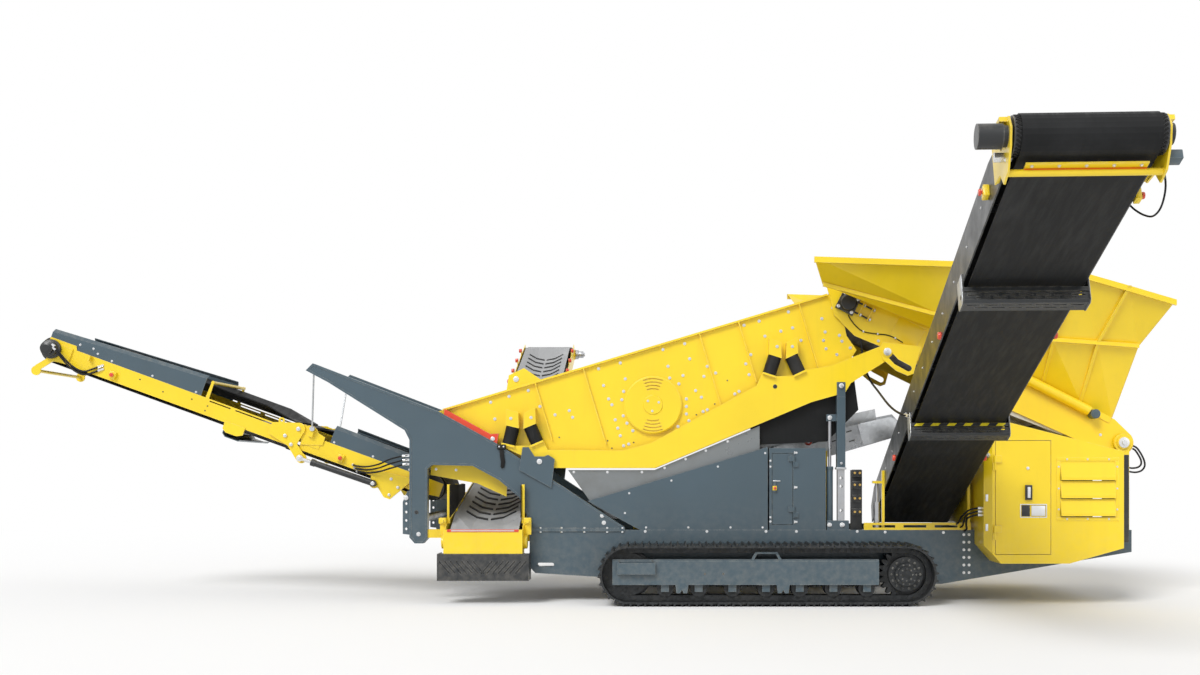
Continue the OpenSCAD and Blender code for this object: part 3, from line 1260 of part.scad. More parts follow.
module cross_frame() color(yellow) on_cross() {
  top = cross_offset(190);
  low = cross_offset(-100);
  both_sides() side_plate(concat(top, [low[2], low[1], low[0]]), -cross_y1, cross_plate_t);
  // Open box round the tail drum
  both_sides() side_plate([[tail_box_x, tail_box_z[1]], [cross_tail[0] + 10, tail_box_z[1]],
    [cross_tail[0] + 60, tail_box_z[0] + 120], [cross_tail[0] + 30, tail_box_z[0]],
      [tail_box_x, tail_box_z[0]]],
    -cross_y1, cross_plate_t);
  box([tail_box_x, -cross_y1, tail_box_z[0] + 20], [tail_box_x + 10, cross_y1, tail_box_z[1]]);
  // Ears that carry the head drum's bearings
  both_sides() cross_bar(cross_head, 95, -cross_y1 - 20, -cross_y1 + weld);
}

// Brackets that carry the cross conveyor and the fines conveyor on the frames and the chassis
module cross_hangers() color(yellow) {
  for (y = [-post_y, post_y]) {
    z = cross_tail[1] + (y - cross_tail[0]) * tan(cross_low_slope);
    right = y < 0 ? chassis_front : far_arch[0][0];
    box([cross_x + cross_y1, y - 40, z - 60], [right, y + 40, z + 60]);
    box([post_x1, y - 40, z - 20], [cross_x - cross_y1, y + 40, z + 80]);
  }
  // Legs of the fines conveyor
  both_sides() for (x = [member_x(1), member_x(3)]) {
    z = fines_tail[1] + (x - fines_tail[0]) * tan(screen_slope) - 40;
    box([x - 40, -fines_y1 - 25, member_z[1]], [x + 40, -fines_y1, z]);
  }
}

module cross_belt() color(rubber) on_cross() {
  up = cross_offset(cross_drum_r);
  low = cross_offset(-cross_drum_r);
  lead = up[0] + belt_ease * [cos(cross_low_slope), sin(cross_low_slope)];
  trail = up[2] - belt_ease * [cos(cross_slope), sin(cross_slope)];
  mid = (cross_low_slope + cross_slope) / 2;
  loft(concat(
    [belt_section(lead, -cross_low_slope, cross_belt_w, cross_lift),
     belt_section(up[1], -mid, cross_belt_w, cross_lift),
     belt_section(trail, -cross_slope, cross_belt_w, cross_lift)],
    drum_wrap(cross_head, cross_drum_r, -cross_slope, 180 - cross_slope, cross_belt_w),
    [belt_section(low[1], 180 - mid, cross_belt_w, 0)],
    drum_wrap(cross_tail, cross_drum_r, 180 - cross_low_slope, 360 - cross_low_slope, cross_belt_w)), true);
}

// Drums of the cross conveyor and the idler tubes between its plates
module cross_drums() color(slate) on_cross() {
  for (p = [cross_tail, cross_head]) cross_bar(p, drum_fit(cross_drum_r), -cross_y0, cross_y0);
  for (p = [between(cross_tail, cross_bend, 0.25), cross_bend, between(cross_bend, cross_head, 0.35),
            between(cross_bend, cross_head, 0.7)]) cross_bar(p, 32, -cross_y0, cross_y0);
}

// Slate guard hung under the tail box, its face pierced by slanted slots
module cross_tail_guard() color(slate) on_cross() {
  face = tail_box_x - 12;
  back = face + 292;
  z0 = tail_box_z[0] - 263;
  z1 = tail_box_z[0] + 50;
  t = 8;
  difference() {
    box([face, -guard_half, z0], [face + t, guard_half, z1]);
    for (side = [-1, 1]) for (i = [0 : 6])
      translate([face + t / 2, side * (46 + i * 66), (z0 + z1) / 2]) rotate([side * 48, 0, 0])
        cube([3 * t, 190, 18], center = true);
  }
  box([face, -guard_half, z0], [back, guard_half, z0 + t]);
  both_sides() {
    box([face, -guard_half, z0], [back, -guard_half + t, z1]);
    // Lip and hanger that bolt to the tail box
    box([face, -guard_half, z1 - t], [face + 110, -cross_y1, z1]);
    box([face + 20, -cross_y1 - t, z1 - 60], [back - 100, -cross_y1, z1]);
  }
}

track_chains();
track_frames();
track_rollers();
idler_wheels();
drive_sprockets();
chassis_beams();
cross_members();
front_frames();
transport_locks();
screen_side_plates();
screen_cross_tubes();
top_deck();
bottom_deck();
exciter();
screen_springs();
screen_cradle();
lift_posts();
lift_cylinders();
medium_chute();
fines_hopper();
rubber_curtains();
side_covers();
control_cabinet();
cabinet_door();
fines_conveyor_frame();
fines_belt();
feeder_frame();
feeder_belt();
feeder_drums();
feeder_bearings();
feeder_posts();
hopper_walls();
hopper_back_wall();
engine_housing();
engine_door();
power_pack();
radiator_guard();
inner_frame();
inner_belt();
inner_skirts();
front_tail_drum();
front_stays();
outer_frame();
outer_belt();
outer_skirts();
front_head_drum();
fold_barrel_near();
fold_barrel_far();
fold_rod_near();
fold_rod_far();
side_frame();
side_towers();
side_belt();
side_drums();
side_guards();
cross_frame();
cross_hangers();
cross_belt();
cross_drums();
cross_tail_guard();
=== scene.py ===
import json
import math
import bmesh
import bpy
from mathutils import Matrix, Vector


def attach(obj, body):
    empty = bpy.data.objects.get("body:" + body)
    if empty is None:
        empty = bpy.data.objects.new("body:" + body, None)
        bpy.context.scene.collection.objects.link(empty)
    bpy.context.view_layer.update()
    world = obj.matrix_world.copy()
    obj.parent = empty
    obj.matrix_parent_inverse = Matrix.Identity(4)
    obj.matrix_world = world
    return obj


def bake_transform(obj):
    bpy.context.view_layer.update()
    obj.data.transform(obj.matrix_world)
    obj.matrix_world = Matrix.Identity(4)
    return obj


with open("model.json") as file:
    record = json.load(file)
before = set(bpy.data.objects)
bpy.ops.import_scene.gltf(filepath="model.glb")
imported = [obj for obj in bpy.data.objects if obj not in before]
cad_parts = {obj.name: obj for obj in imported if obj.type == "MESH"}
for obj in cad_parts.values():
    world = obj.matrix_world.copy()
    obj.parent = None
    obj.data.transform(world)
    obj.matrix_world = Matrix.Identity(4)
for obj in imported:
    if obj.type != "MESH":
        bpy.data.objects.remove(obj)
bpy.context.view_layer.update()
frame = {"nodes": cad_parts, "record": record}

print("frame loaded:", len(frame["nodes"]), "nodes")

# shader helpers

def addNode(tree, kind, **settings):
    node = tree.nodes.new(kind)
    for name, value in settings.items():
        setattr(node, name, value)
    return node


def wire(tree, source, target):
    tree.links.new(source, target)


def feed(tree, socket, value):
    if isinstance(value, bpy.types.NodeSocket):
        wire(tree, value, socket)
    else:
        socket.default_value = value


def mathNode(tree, operation, first, second=None, clamp=False):
    node = addNode(tree, "ShaderNodeMath", operation=operation, use_clamp=clamp)
    for slot, value in enumerate((first, second)):
        if value is not None:
            feed(tree, node.inputs[slot], value)
    return node.outputs[0]


def mixColor(tree, amount, first, second, blend="MIX"):
    node = addNode(tree, "ShaderNodeMix", data_type="RGBA", blend_type=blend)
    for slot, value in ((0, amount), (6, first), (7, second)):
        feed(tree, node.inputs[slot], value)
    return node.outputs[2]


def noiseAt(tree, vector, scale, detail=4.0, rough=0.55):
    node = addNode(tree, "ShaderNodeTexNoise")
    node.inputs["Detail"].default_value = detail
    node.inputs["Roughness"].default_value = rough
    feed(tree, node.inputs["Scale"], scale)
    wire(tree, vector, node.inputs["Vector"])
    return node.outputs["Fac"]


def spread(tree, value, low, high, toLow=0.0, toHigh=1.0):
    node = addNode(tree, "ShaderNodeMapRange", clamp=True)
    wire(tree, value, node.inputs["Value"])
    for name, number in (("From Min", low), ("From Max", high), ("To Min", toLow), ("To Max", toHigh)):
        feed(tree, node.inputs[name], number)
    return node.outputs["Result"]


def stretched(tree, vector, scale):
    node = addNode(tree, "ShaderNodeMapping")
    node.inputs["Scale"].default_value = scale
    wire(tree, vector, node.inputs["Vector"])
    return node.outputs["Vector"]


def startGroup(name, inputs, outputs):
    tree = bpy.data.node_groups.new(name, "ShaderNodeTree")
    for socketName, kind, value in inputs:
        socket = tree.interface.new_socket(socketName, in_out="INPUT", socket_type=kind)
        socket.default_value = value
    for socketName, kind in outputs:
        tree.interface.new_socket(socketName, in_out="OUTPUT", socket_type=kind)
    return tree, addNode(tree, "NodeGroupInput"), addNode(tree, "NodeGroupOutput")


color, number = "NodeSocketColor", "NodeSocketFloat"


def makePaintGroup():
    # Weathering of the paint, plus a painted highlight along the edges.
    tree, given, result = startGroup("paintWeatherAndEdgeHighlight", [
        ("Color", color, (0.8, 0.6, 0.02, 1)), ("Dust Color", color, (0.55, 0.5, 0.42, 1)),
        ("Dust", number, 0.25), ("Streaks", number, 0.12), ("Edge Highlight And Wear", number, 0.35),
        ("Gloss Low", number, 0.28), ("Gloss High", number, 0.45)],
        [("Color", color), ("Roughness", number), ("Height", number)])
    place = addNode(tree, "ShaderNodeTexCoord").outputs["Object"]
    shape = addNode(tree, "ShaderNodeNewGeometry")
    broad = noiseAt(tree, place, 0.9, 5.0)
    runs = noiseAt(tree, stretched(tree, place, (5.0, 5.0, 0.35)), 1.6, 5.0, 0.6)
    fine = noiseAt(tree, place, 14.0, 6.0, 0.65)
    tone = mixColor(tree, spread(tree, broad, 0.3, 0.7, 0.0, 0.16), given.outputs["Color"],
        (0.25, 0.2, 0.1, 1), "MULTIPLY")
    streakMask = mathNode(tree, "MULTIPLY", spread(tree, runs, 0.52, 0.75), given.outputs["Streaks"])
    tone = mixColor(tree, streakMask, tone, (0.08, 0.07, 0.055, 1))
    # Pale edges: a painted highlight along the bevelled edges, partly edge wear, broken up by fine noise and
    # mixed toward a pale colour.
    bevel = addNode(tree, "ShaderNodeBevel", samples=4)
    bevel.inputs["Radius"].default_value = 0.012
    facing = addNode(tree, "ShaderNodeVectorMath", operation="DOT_PRODUCT")
    wire(tree, bevel.outputs["Normal"], facing.inputs[0])
    wire(tree, shape.outputs["Normal"], facing.inputs[1])
    edge = spread(tree, facing.outputs["Value"], 0.97, 0.8)
    edge = mathNode(tree, "MULTIPLY", edge, spread(tree, fine, 0.35, 0.6))
    edge = mathNode(tree, "MULTIPLY", edge, given.outputs["Edge Highlight And Wear"])
    tone = mixColor(tree, edge, tone, (0.8, 0.78, 0.7, 1))
    split = addNode(tree, "ShaderNodeSeparateXYZ")
    wire(tree, shape.outputs["Normal"], split.inputs[0])
    height = addNode(tree, "ShaderNodeSeparateXYZ")
    wire(tree, place, height.inputs[0])
    upward = spread(tree, split.outputs["Z"], 0.2, 0.9)
    low = spread(tree, height.outputs["Z"], 1.3, 0.1, 0.0, 0.7)
    lying = mathNode(tree, "MULTIPLY", mathNode(tree, "MAXIMUM", upward, low), spread(tree, fine, 0.38, 0.72))
    dustMask = mathNode(tree, "MULTIPLY", lying, given.outputs["Dust"], True)
    tone = mixColor(tree, dustMask, tone, given.outputs["Dust Color"])
    gloss = spread(tree, noiseAt(tree, place, 5.0, 5.0), 0.3, 0.7, given.outputs["Gloss Low"],
        given.outputs["Gloss High"])
    wire(tree, tone, result.inputs["Color"])
    wire(tree, mathNode(tree, "ADD", gloss, mathNode(tree, "MULTIPLY", dustMask, 0.5), True),
        result.inputs["Roughness"])
    wire(tree, noiseAt(tree, place, 160.0, 2.0), result.inputs["Height"])
    return tree


def makeRubberGroup():
    tree, given, result = startGroup("rubberWear", [
        ("Color", color, (0.02, 0.02, 0.02, 1)), ("Dust Color", color, (0.3, 0.29, 0.27, 1)),
        ("Dust", number, 0.25), ("Grain", number, 60.0)],
        [("Color", color), ("Roughness", number), ("Height", number)])
    place = addNode(tree, "ShaderNodeTexCoord").outputs["Object"]
    cloud = noiseAt(tree, place, 1.3, 6.0, 0.6)
    scuff = noiseAt(tree, stretched(tree, place, (9.0, 1.2, 1.2)), 2.2, 5.0, 0.65)
    grain = noiseAt(tree, place, given.outputs["Grain"], 3.0, 0.6)
    worn = mathNode(tree, "MAXIMUM", spread(tree, cloud, 0.5, 0.8), spread(tree, scuff, 0.58, 0.8, 0.0, 0.8))
    worn = mathNode(tree, "MULTIPLY", worn, given.outputs["Dust"], True)
    tone = mixColor(tree, worn, given.outputs["Color"], given.outputs["Dust Color"])
    wire(tree, tone, result.inputs["Color"])
    wire(tree, spread(tree, scuff, 0.3, 0.75, 0.42, 0.68), result.inputs["Roughness"])
    wire(tree, grain, result.inputs["Height"])
    return tree


def makeSteelGroup():
    tree, given, result = startGroup("bareSteel", [
        ("Color", color, (0.5, 0.5, 0.5, 1)), ("Stain Color", color, (0.2, 0.17, 0.14, 1)),
        ("Stain", number, 0.3), ("Spangle", number, 0.3), ("Gloss Low", number, 0.25),
        ("Gloss High", number, 0.5)],
        [("Color", color), ("Roughness", number), ("Height", number)])
    place = addNode(tree, "ShaderNodeTexCoord").outputs["Object"]
    cells = addNode(tree, "ShaderNodeTexVoronoi", feature="F1")
    cells.inputs["Scale"].default_value = 28.0
    wire(tree, place, cells.inputs["Vector"])
    bright = addNode(tree, "ShaderNodeSeparateColor")
    wire(tree, cells.outputs["Color"], bright.inputs[0])
    spangle = mathNode(tree, "MULTIPLY", bright.outputs[0], given.outputs["Spangle"])
    cloud = noiseAt(tree, place, 3.0, 6.0, 0.6)
    tone = mixColor(tree, spangle, given.outputs["Color"], (0.25, 0.26, 0.28, 1))
    stain = mathNode(tree, "MULTIPLY", spread(tree, cloud, 0.48, 0.75), given.outputs["Stain"])
    tone = mixColor(tree, stain, tone, given.outputs["Stain Color"])
    wire(tree, tone, result.inputs["Color"])
    wire(tree, spread(tree, cloud, 0.3, 0.7, given.outputs["Gloss Low"], given.outputs["Gloss High"]),
         result.inputs["Roughness"])
    wire(tree, noiseAt(tree, stretched(tree, place, (60.0, 60.0, 4.0)), 3.0, 3.0), result.inputs["Height"])
    return tree


groups = {"paint": makePaintGroup(), "rubber": makeRubberGroup(), "steel": makeSteelGroup()}


def makeMaterial(name, groupName, values, metallic=0.0, bump=0.02, reach=0.002, coat=0.0):
    material = bpy.data.materials.new(name)
    material.use_nodes = True
    tree = material.node_tree
    shader = tree.nodes["Principled BSDF"]
    shader.inputs["Metallic"].default_value = metallic
    shader.inputs["Coat Weight"].default_value = coat
    shader.inputs["Coat Roughness"].default_value = 0.2
    shader.inputs["Specular IOR Level"].default_value = 0.2 if groupName == "rubber" else 0.5
    effect = addNode(tree, "ShaderNodeGroup", node_tree=groups[groupName])
    for socketName, value in values.items():
        effect.inputs[socketName].default_value = value
    relief = addNode(tree, "ShaderNodeBump")
    relief.inputs["Strength"].default_value = bump
    relief.inputs["Distance"].default_value = reach
    wire(tree, effect.outputs["Height"], relief.inputs["Height"])
    wire(tree, relief.outputs["Normal"], shader.inputs["Normal"])
    wire(tree, effect.outputs["Color"], shader.inputs["Base Color"])
    wire(tree, effect.outputs["Roughness"], shader.inputs["Roughness"])
    return material


finishes = {
    "yellow_paint": makeMaterial("yellowPaint", "paint", {
        "Color": (0.92, 0.665, 0.010, 1), "Dust": 0.16, "Streaks": 0.05, "Edge Highlight And Wear": 0.22}, bump=0.05,
        coat=0.35),
    "slate_paint": makeMaterial("slatePaint", "paint", {
        "Color": (0.056, 0.092, 0.118, 1), "Dust": 0.2, "Streaks": 0.06, "Edge Highlight And Wear": 0.22}, bump=0.05,
        coat=0.2),
    "dark_paint": makeMaterial("darkPaint", "paint", {
        "Color": (0.022, 0.025, 0.028, 1), "Dust": 0.2, "Streaks": 0.06, "Edge Highlight And Wear": 0.2}, bump=0.05),
    "red_paint": makeMaterial("redPaint", "paint", {
        "Color": (0.72, 0.05, 0.012, 1), "Dust": 0.15}, bump=0.05, coat=0.3),
    "track_steel": makeMaterial("trackSteel", "steel", {
        "Color": (0.011, 0.013, 0.014, 1), "Stain Color": (0.075, 0.07, 0.062, 1), "Stain": 0.3,
        "Spangle": 0.1,
        "Gloss Low": 0.35, "Gloss High": 0.6}, metallic=0.35, bump=0.2),
    "screen_steel": makeMaterial("screenSteel", "steel", {
        "Color": (0.3, 0.29, 0.27, 1), "Stain": 0.45}, metallic=0.6, bump=0.15),
    "spring_rubber": makeMaterial("springRubber", "rubber", {
        "Color": (0.009, 0.009, 0.009, 1), "Dust": 0.12}, bump=0.1),
    "belt_rubber": makeMaterial("beltRubber", "rubber", {
        "Color": (0.0075, 0.008, 0.0085, 1), "Dust Color": (0.05, 0.052, 0.055, 1), "Dust": 0.32,
        "Grain": 90.0}, bump=0.15),
    "chevron_rubber": makeMaterial("chevronRubber", "rubber", {
        "Color": (0.34, 0.345, 0.35, 1), "Dust Color": (0.60, 0.60, 0.60, 1), "Dust": 0.6, "Grain": 50.0},
        bump=0.2),
    "cylinder_steel": makeMaterial("cylinderSteel", "steel", {
        "Color": (0.45, 0.46, 0.48, 1), "Stain": 0.12, "Spangle": 0.12}, metallic=0.8, bump=0.04),
    "galvanised": makeMaterial("galvanised", "steel", {
        "Color": (0.55, 0.57, 0.59, 1), "Stain": 0.15, "Spangle": 0.35}, metallic=0.7, bump=0.04),
    "dark_steel": makeMaterial("darkSteel", "paint", {
        "Color": (0.018, 0.02, 0.022, 1), "Dust": 0.2, "Streaks": 0.05, "Edge Highlight And Wear": 0.25}, bump=0.06),
    "chrome_rod": makeMaterial("chromeRod", "steel", {
        "Color": (0.75, 0.76, 0.78, 1), "Stain": 0.05, "Spangle": 0.0, "Gloss Low": 0.08, "Gloss High": 0.16},
        metallic=1.0, bump=0.0),
    "zinc": makeMaterial("zinc", "steel", {
        "Color": (0.72, 0.73, 0.74, 1), "Stain": 0.08, "Spangle": 0.05, "Gloss Low": 0.22,
        "Gloss High": 0.38},
        metallic=0.75, bump=0.0),
    "brass": makeMaterial("brass", "steel", {
        "Color": (0.62, 0.42, 0.13, 1), "Stain": 0.15, "Spangle": 0.0}, metallic=0.9, bump=0.0),
    "hoseRubber": makeMaterial("hoseRubber", "rubber", {
        "Color": (0.012, 0.012, 0.013, 1), "Dust": 0.1}, bump=0.05),
    # Chevron cleats coloured much darker than the pale belt: partly less dust on them, partly painted shade
    # along their sides.
    "cleatRubberAndShade": makeMaterial("cleatRubberAndShade", "rubber", {
        "Color": (0.03, 0.031, 0.032, 1), "Dust": 0.25}, bump=0.1),
    "orangeBlade": makeMaterial("orangeBlade", "rubber", {
        "Color": (0.75, 0.16, 0.01, 1), "Dust Color": (0.5, 0.25, 0.1, 1), "Dust": 0.2}, bump=0.05),
    "dashYellow": makeMaterial("dashYellow", "paint", {
        "Color": (0.85, 0.70, 0.02, 1), "Dust": 0.1, "Edge Highlight And Wear": 0.0}, bump=0.0),
    "palePlate": makeMaterial("palePlate", "paint", {
        "Color": (0.55, 0.56, 0.56, 1), "Dust": 0.15, "Edge Highlight And Wear": 0.1}, bump=0.03),
    "hopperSteel": makeMaterial("hopperSteel", "steel", {
        "Color": (0.20, 0.215, 0.22, 1), "Stain Color": (0.12, 0.115, 0.105, 1), "Stain": 0.35,
        "Spangle": 0.1}, metallic=0.35, bump=0.06),
}
print("finishes made:", len(finishes))

finerFinish = {"fines_hopper": "hopperSteel", "side_guards": "dark_paint", "cross_tail_guard": "dark_paint"}
for part in frame["record"]["subparts"]:
    shown = frame["nodes"][part["node"]]
    shown.data.materials.clear()
    shown.data.materials.append(finishes[finerFinish.get(part["node"], part["material_slot"])])

# stage, light and camera

stageSet = {"floorSize": 160.0, "floorTone": 0.93, "fadeFrom": 9.0, "fadeTo": 22.0,
            "skyLight": 0.56, "keyPower": 2.05, "keyTurn": (48, 0, -28), "fillPower": 0.5,
            "fillTurn": (62, 0, 55),
            "keySoft": 25, "fillSoft": 60}


def directRays(tree):
    seen = addNode(tree, "ShaderNodeLightPath")
    rays = mathNode(tree, "MAXIMUM", seen.outputs["Is Camera Ray"], seen.outputs["Is Glossy Ray"])
    return mathNode(tree, "MAXIMUM", rays, seen.outputs["Is Transmission Ray"])


def makeFloor():
    form = bmesh.new()
    bmesh.ops.create_grid(form, x_segments=1, y_segments=1, size=stageSet["floorSize"] / 2)
    mesh = bpy.data.meshes.new("floor")
    form.to_mesh(mesh)
    form.free()
    floor = bpy.data.objects.new("floor", mesh)
    bpy.context.collection.objects.link(floor)
    material = bpy.data.materials.new("paleFloor")
    material.use_nodes = True
    tree = material.node_tree
    tree.nodes.clear()
    tone = stageSet["floorTone"]
    matt = addNode(tree, "ShaderNodeBsdfDiffuse")
    matt.inputs["Color"].default_value = (tone, tone, tone, 1)
    glow = addNode(tree, "ShaderNodeEmission")
    place = addNode(tree, "ShaderNodeTexCoord").outputs["Object"]
    away = addNode(tree, "ShaderNodeVectorMath", operation="LENGTH")
    wire(tree, place, away.inputs[0])
    fade = spread(tree, away.outputs["Value"], stageSet["fadeFrom"], stageSet["fadeTo"])
    rays = directRays(tree)
    blend = addNode(tree, "ShaderNodeMixShader")
    wire(tree, mathNode(tree, "MULTIPLY", fade, rays), blend.inputs[0])
    wire(tree, matt.outputs[0], blend.inputs[1])
    wire(tree, glow.outputs[0], blend.inputs[2])
    wire(tree, blend.outputs[0], addNode(tree, "ShaderNodeOutputMaterial").inputs["Surface"])
    mesh.materials.append(material)


def makeWorld():
    world = bpy.data.worlds.new("studio")
    bpy.context.scene.world = world
    world.use_nodes = True
    tree = world.node_tree
    tree.nodes.clear()
    rays = directRays(tree)
    soft = addNode(tree, "ShaderNodeBackground")
    soft.inputs["Strength"].default_value = stageSet["skyLight"]
    white = addNode(tree, "ShaderNodeBackground")
    blend = addNode(tree, "ShaderNodeMixShader")
    for background in (soft, white):
        background.inputs["Color"].default_value = (1, 1, 1, 1)
    wire(tree, rays, blend.inputs[0])
    wire(tree, soft.outputs[0], blend.inputs[1])
    wire(tree, white.outputs[0], blend.inputs[2])
    wire(tree, blend.outputs[0], addNode(tree, "ShaderNodeOutputWorld").inputs["Surface"])


def makeSun(name, power, turn, softness):
    lamp = bpy.data.lights.new(name, "SUN")
    lamp.energy = power
    lamp.angle = math.radians(softness)
    shining = bpy.data.objects.new(name, lamp)
    shining.rotation_euler = [math.radians(angle) for angle in turn]
    bpy.context.collection.objects.link(shining)


makeFloor()
makeWorld()
makeSun("keyLight", stageSet["keyPower"], stageSet["keyTurn"], stageSet["keySoft"])
makeSun("fillLight", stageSet["fillPower"], stageSet["fillTurn"], stageSet["fillSoft"])

cameraSet = {"place": (0.865, -15.75, 1.56), "lens": 37.5, "sensor": 36.0, "shift": (-0.05, 0.1104)}
lens = bpy.data.cameras.new("photoCamera")
lens.lens = cameraSet["lens"]
lens.sensor_width = cameraSet["sensor"]
lens.sensor_fit = "HORIZONTAL"
lens.shift_x, lens.shift_y = cameraSet["shift"]
lens.clip_end = 300
photoCamera = bpy.data.objects.new("photoCamera", lens)
photoCamera.location = cameraSet["place"]
photoCamera.rotation_euler = (math.radians(90), 0, 0)
bpy.context.collection.objects.link(photoCamera)
bpy.context.scene.camera = photoCamera
bpy.context.scene.view_settings.view_transform = "Standard"
print("stage and camera ready")

# piece helpers

def moveTo(*place):
    return Matrix.Translation(place)


def turn(angle, axis):
    return Matrix.Rotation(math.radians(angle), 4, axis)


still = Matrix()
frontPlace = moveTo(-3.510, 0, 2.057) @ turn(20, "Y")  # x runs down to the tail
feederPlace = moveTo(3.1058, 0, 3.5513) @ turn(27, "Y")
screenPlace = moveTo(-1.814, 0, 2.254) @ turn(-16.7, "Y")
finesPlace = moveTo(0.330, 0, 1.075) @ turn(-16.7, "Y")
sidePlace = moveTo(4.0798, 0.250, 1.036) @ turn(-93, "Z") @ turn(-19.3, "Y")
crossPlace = moveTo(-1.185, 0, 0) @ turn(90, "Z")
sides = (-1, 1)
asDrawn = (1,)  # for rows that are not repeated on the other side
sharpAngle = 38


def across(point, side):
    return Vector((point[0], side * point[1], point[2]))


def edgesOf(verts):
    return list(dict.fromkeys(edge for vert in verts for edge in vert.link_edges))


def roundOff(form, edges, bevelBy):
    if bevelBy:
        bmesh.ops.bevel(form, geom=edges, offset=bevelBy, segments=2, profile=0.5, affect="EDGES",
            material=-1)


def grow(form, face, step):
    grown = bmesh.ops.extrude_face_region(form, geom=[face, *face.edges])["geom"]
    moved = [item for item in grown if isinstance(item, bmesh.types.BMVert)]
    bmesh.ops.translate(form, verts=moved, vec=step)
    return moved, next(item for item in grown if isinstance(item, bmesh.types.BMFace))


def addBlock(form, first, second, place=still, bevelBy=0.0):
    first, second = Vector(first), Vector(second)
    size = Matrix.Diagonal((*(abs(part) for part in second - first), 1))
    made = bmesh.ops.create_cube(form, size=1.0, matrix=place @ moveTo(*((first + second) / 2)) @ size)
    roundOff(form, edgesOf(made["verts"]), bevelBy)


def addRound(form, start, end, radius, place=still, tip=None, sides=16, bevelBy=0.0):
    start, end = place @ Vector(start), place @ Vector(end)
    run = end - start
    aim = run.to_track_quat("Z", "Y").to_matrix().to_4x4()
    made = bmesh.ops.create_cone(form, cap_ends=True, segments=sides, radius1=radius, radius2=tip or radius,
                                 depth=run.length, matrix=moveTo(*((start + end) / 2)) @ aim)
    rims = [edge for edge in edgesOf(made["verts"]) if edge.calc_face_angle(0) > 1.0]
    roundOff(form, rims, bevelBy)


def addPlate(form, outline, first, second, place=still, bevelBy=0.0):
    low, high = sorted((first, second))
    corners = [form.verts.new(place @ Vector((x, low, z))) for x, z in outline]
    moved, _ = grow(form, form.faces.new(corners), place.to_3x3() @ Vector((0, high - low, 0)))
    roundOff(form, edgesOf(corners + moved), bevelBy)


def addBolt(form, at, out, size, place=still):
    at, out = place @ Vector(at), (place.to_3x3() @ Vector(out)).normalized()
    addRound(form, at - out * 0.002, at + out * size * 0.2, size, sides=12)
    addRound(form, at + out * size * 0.2, at + out * size * 0.75, size * 0.66, tip=size * 0.58, sides=6)


def addCap(form, at, out, size, place=still):
    at, out = place @ Vector(at), (place.to_3x3() @ Vector(out)).normalized()
    addRound(form, at - out * 0.003, at + out * 0.010, size, sides=20, bevelBy=0.002)
    addRound(form, at + out * 0.010, at + out * 0.026, size * 0.52, tip=size * 0.46, sides=6)


def linkPiece(name, form, finish):
    bmesh.ops.recalc_face_normals(form, faces=form.faces)
    mesh = bpy.data.meshes.new(name)
    form.to_mesh(mesh)
    form.free()
    mesh.materials.append(finishes[finish])
    mesh.shade_smooth()
    mesh.set_sharp_from_angle(angle=math.radians(sharpAngle))
    piece = bpy.data.objects.new(name, mesh)
    bpy.context.collection.objects.link(piece)
    return piece


def finishPiece(name, form, finish, body="plant"):
    piece = linkPiece(name, form, finish)
    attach(piece, body)


def makePiece(name, finish, *rowSets, body="plant"):
    form = bmesh.new()
    for rows in rowSets:
        place = rows.get("place", still)
        for side in rows.get("sides", sides):
            for first, second, bevelBy in rows.get("blocks", ()):
                addBlock(form, across(first, side), across(second, side), place, bevelBy)
            for start, end, radius, shape in rows.get("rounds", ()):
                addRound(form, across(start, side), across(end, side), radius, place, **shape)
            for outline, first, second, bevelBy in rows.get("plates", ()):
                addPlate(form, outline, side * first, side * second, place, bevelBy)
            for at, out, size in rows.get("bolts", ()):
                addBolt(form, across(at, side), across(out, side), size, place)
            for at, size in rows.get("caps", ()):
                addCap(form, across(at, side), (0, side, 0), size, place)
    finishPiece(name, form, finish, body)


def sideBolts(spots, face, size):
    return [((x, face, z), (0, 1, 0), size) for x, z in spots]


# hoses, each one smooth curve through a few points

def smoothPath(points):
    points = [Vector(point) for point in points]
    steps = min(5, 39 // (len(points) - 1))  # at most forty points on a hose
    ends = [points[0] * 2 - points[1]] + points + [points[-1] * 2 - points[-2]]
    path = []
    for spot in range(1, len(ends) - 2):
        a, b, c, d = ends[spot - 1:spot + 3]
        for step in range(steps):
            t = step / steps
            path.append(0.5 * (2 * b + (c - a) * t + (2 * a - 5 * b + 4 * c - d) * t * t
                               + (3 * b - a - 3 * c + d) * t ** 3))
    return path + [points[-1]]


def makeHose(name, points, thick, body):
    path = smoothPath(points)
    curve = bpy.data.curves.new(name, "CURVE")
    curve.dimensions = "3D"
    curve.bevel_depth = thick / 2
    curve.bevel_resolution = 3
    curve.use_fill_caps = True
    line = curve.splines.new("POLY")
    line.points.add(len(path) - 1)
    for spot, place in zip(line.points, path):
        spot.co = (*place, 1)
    line.use_smooth = True
    curve.materials.append(finishes["hoseRubber"])
    hose = bpy.data.objects.new(name, curve)
    bpy.context.collection.objects.link(hose)
    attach(hose, body)


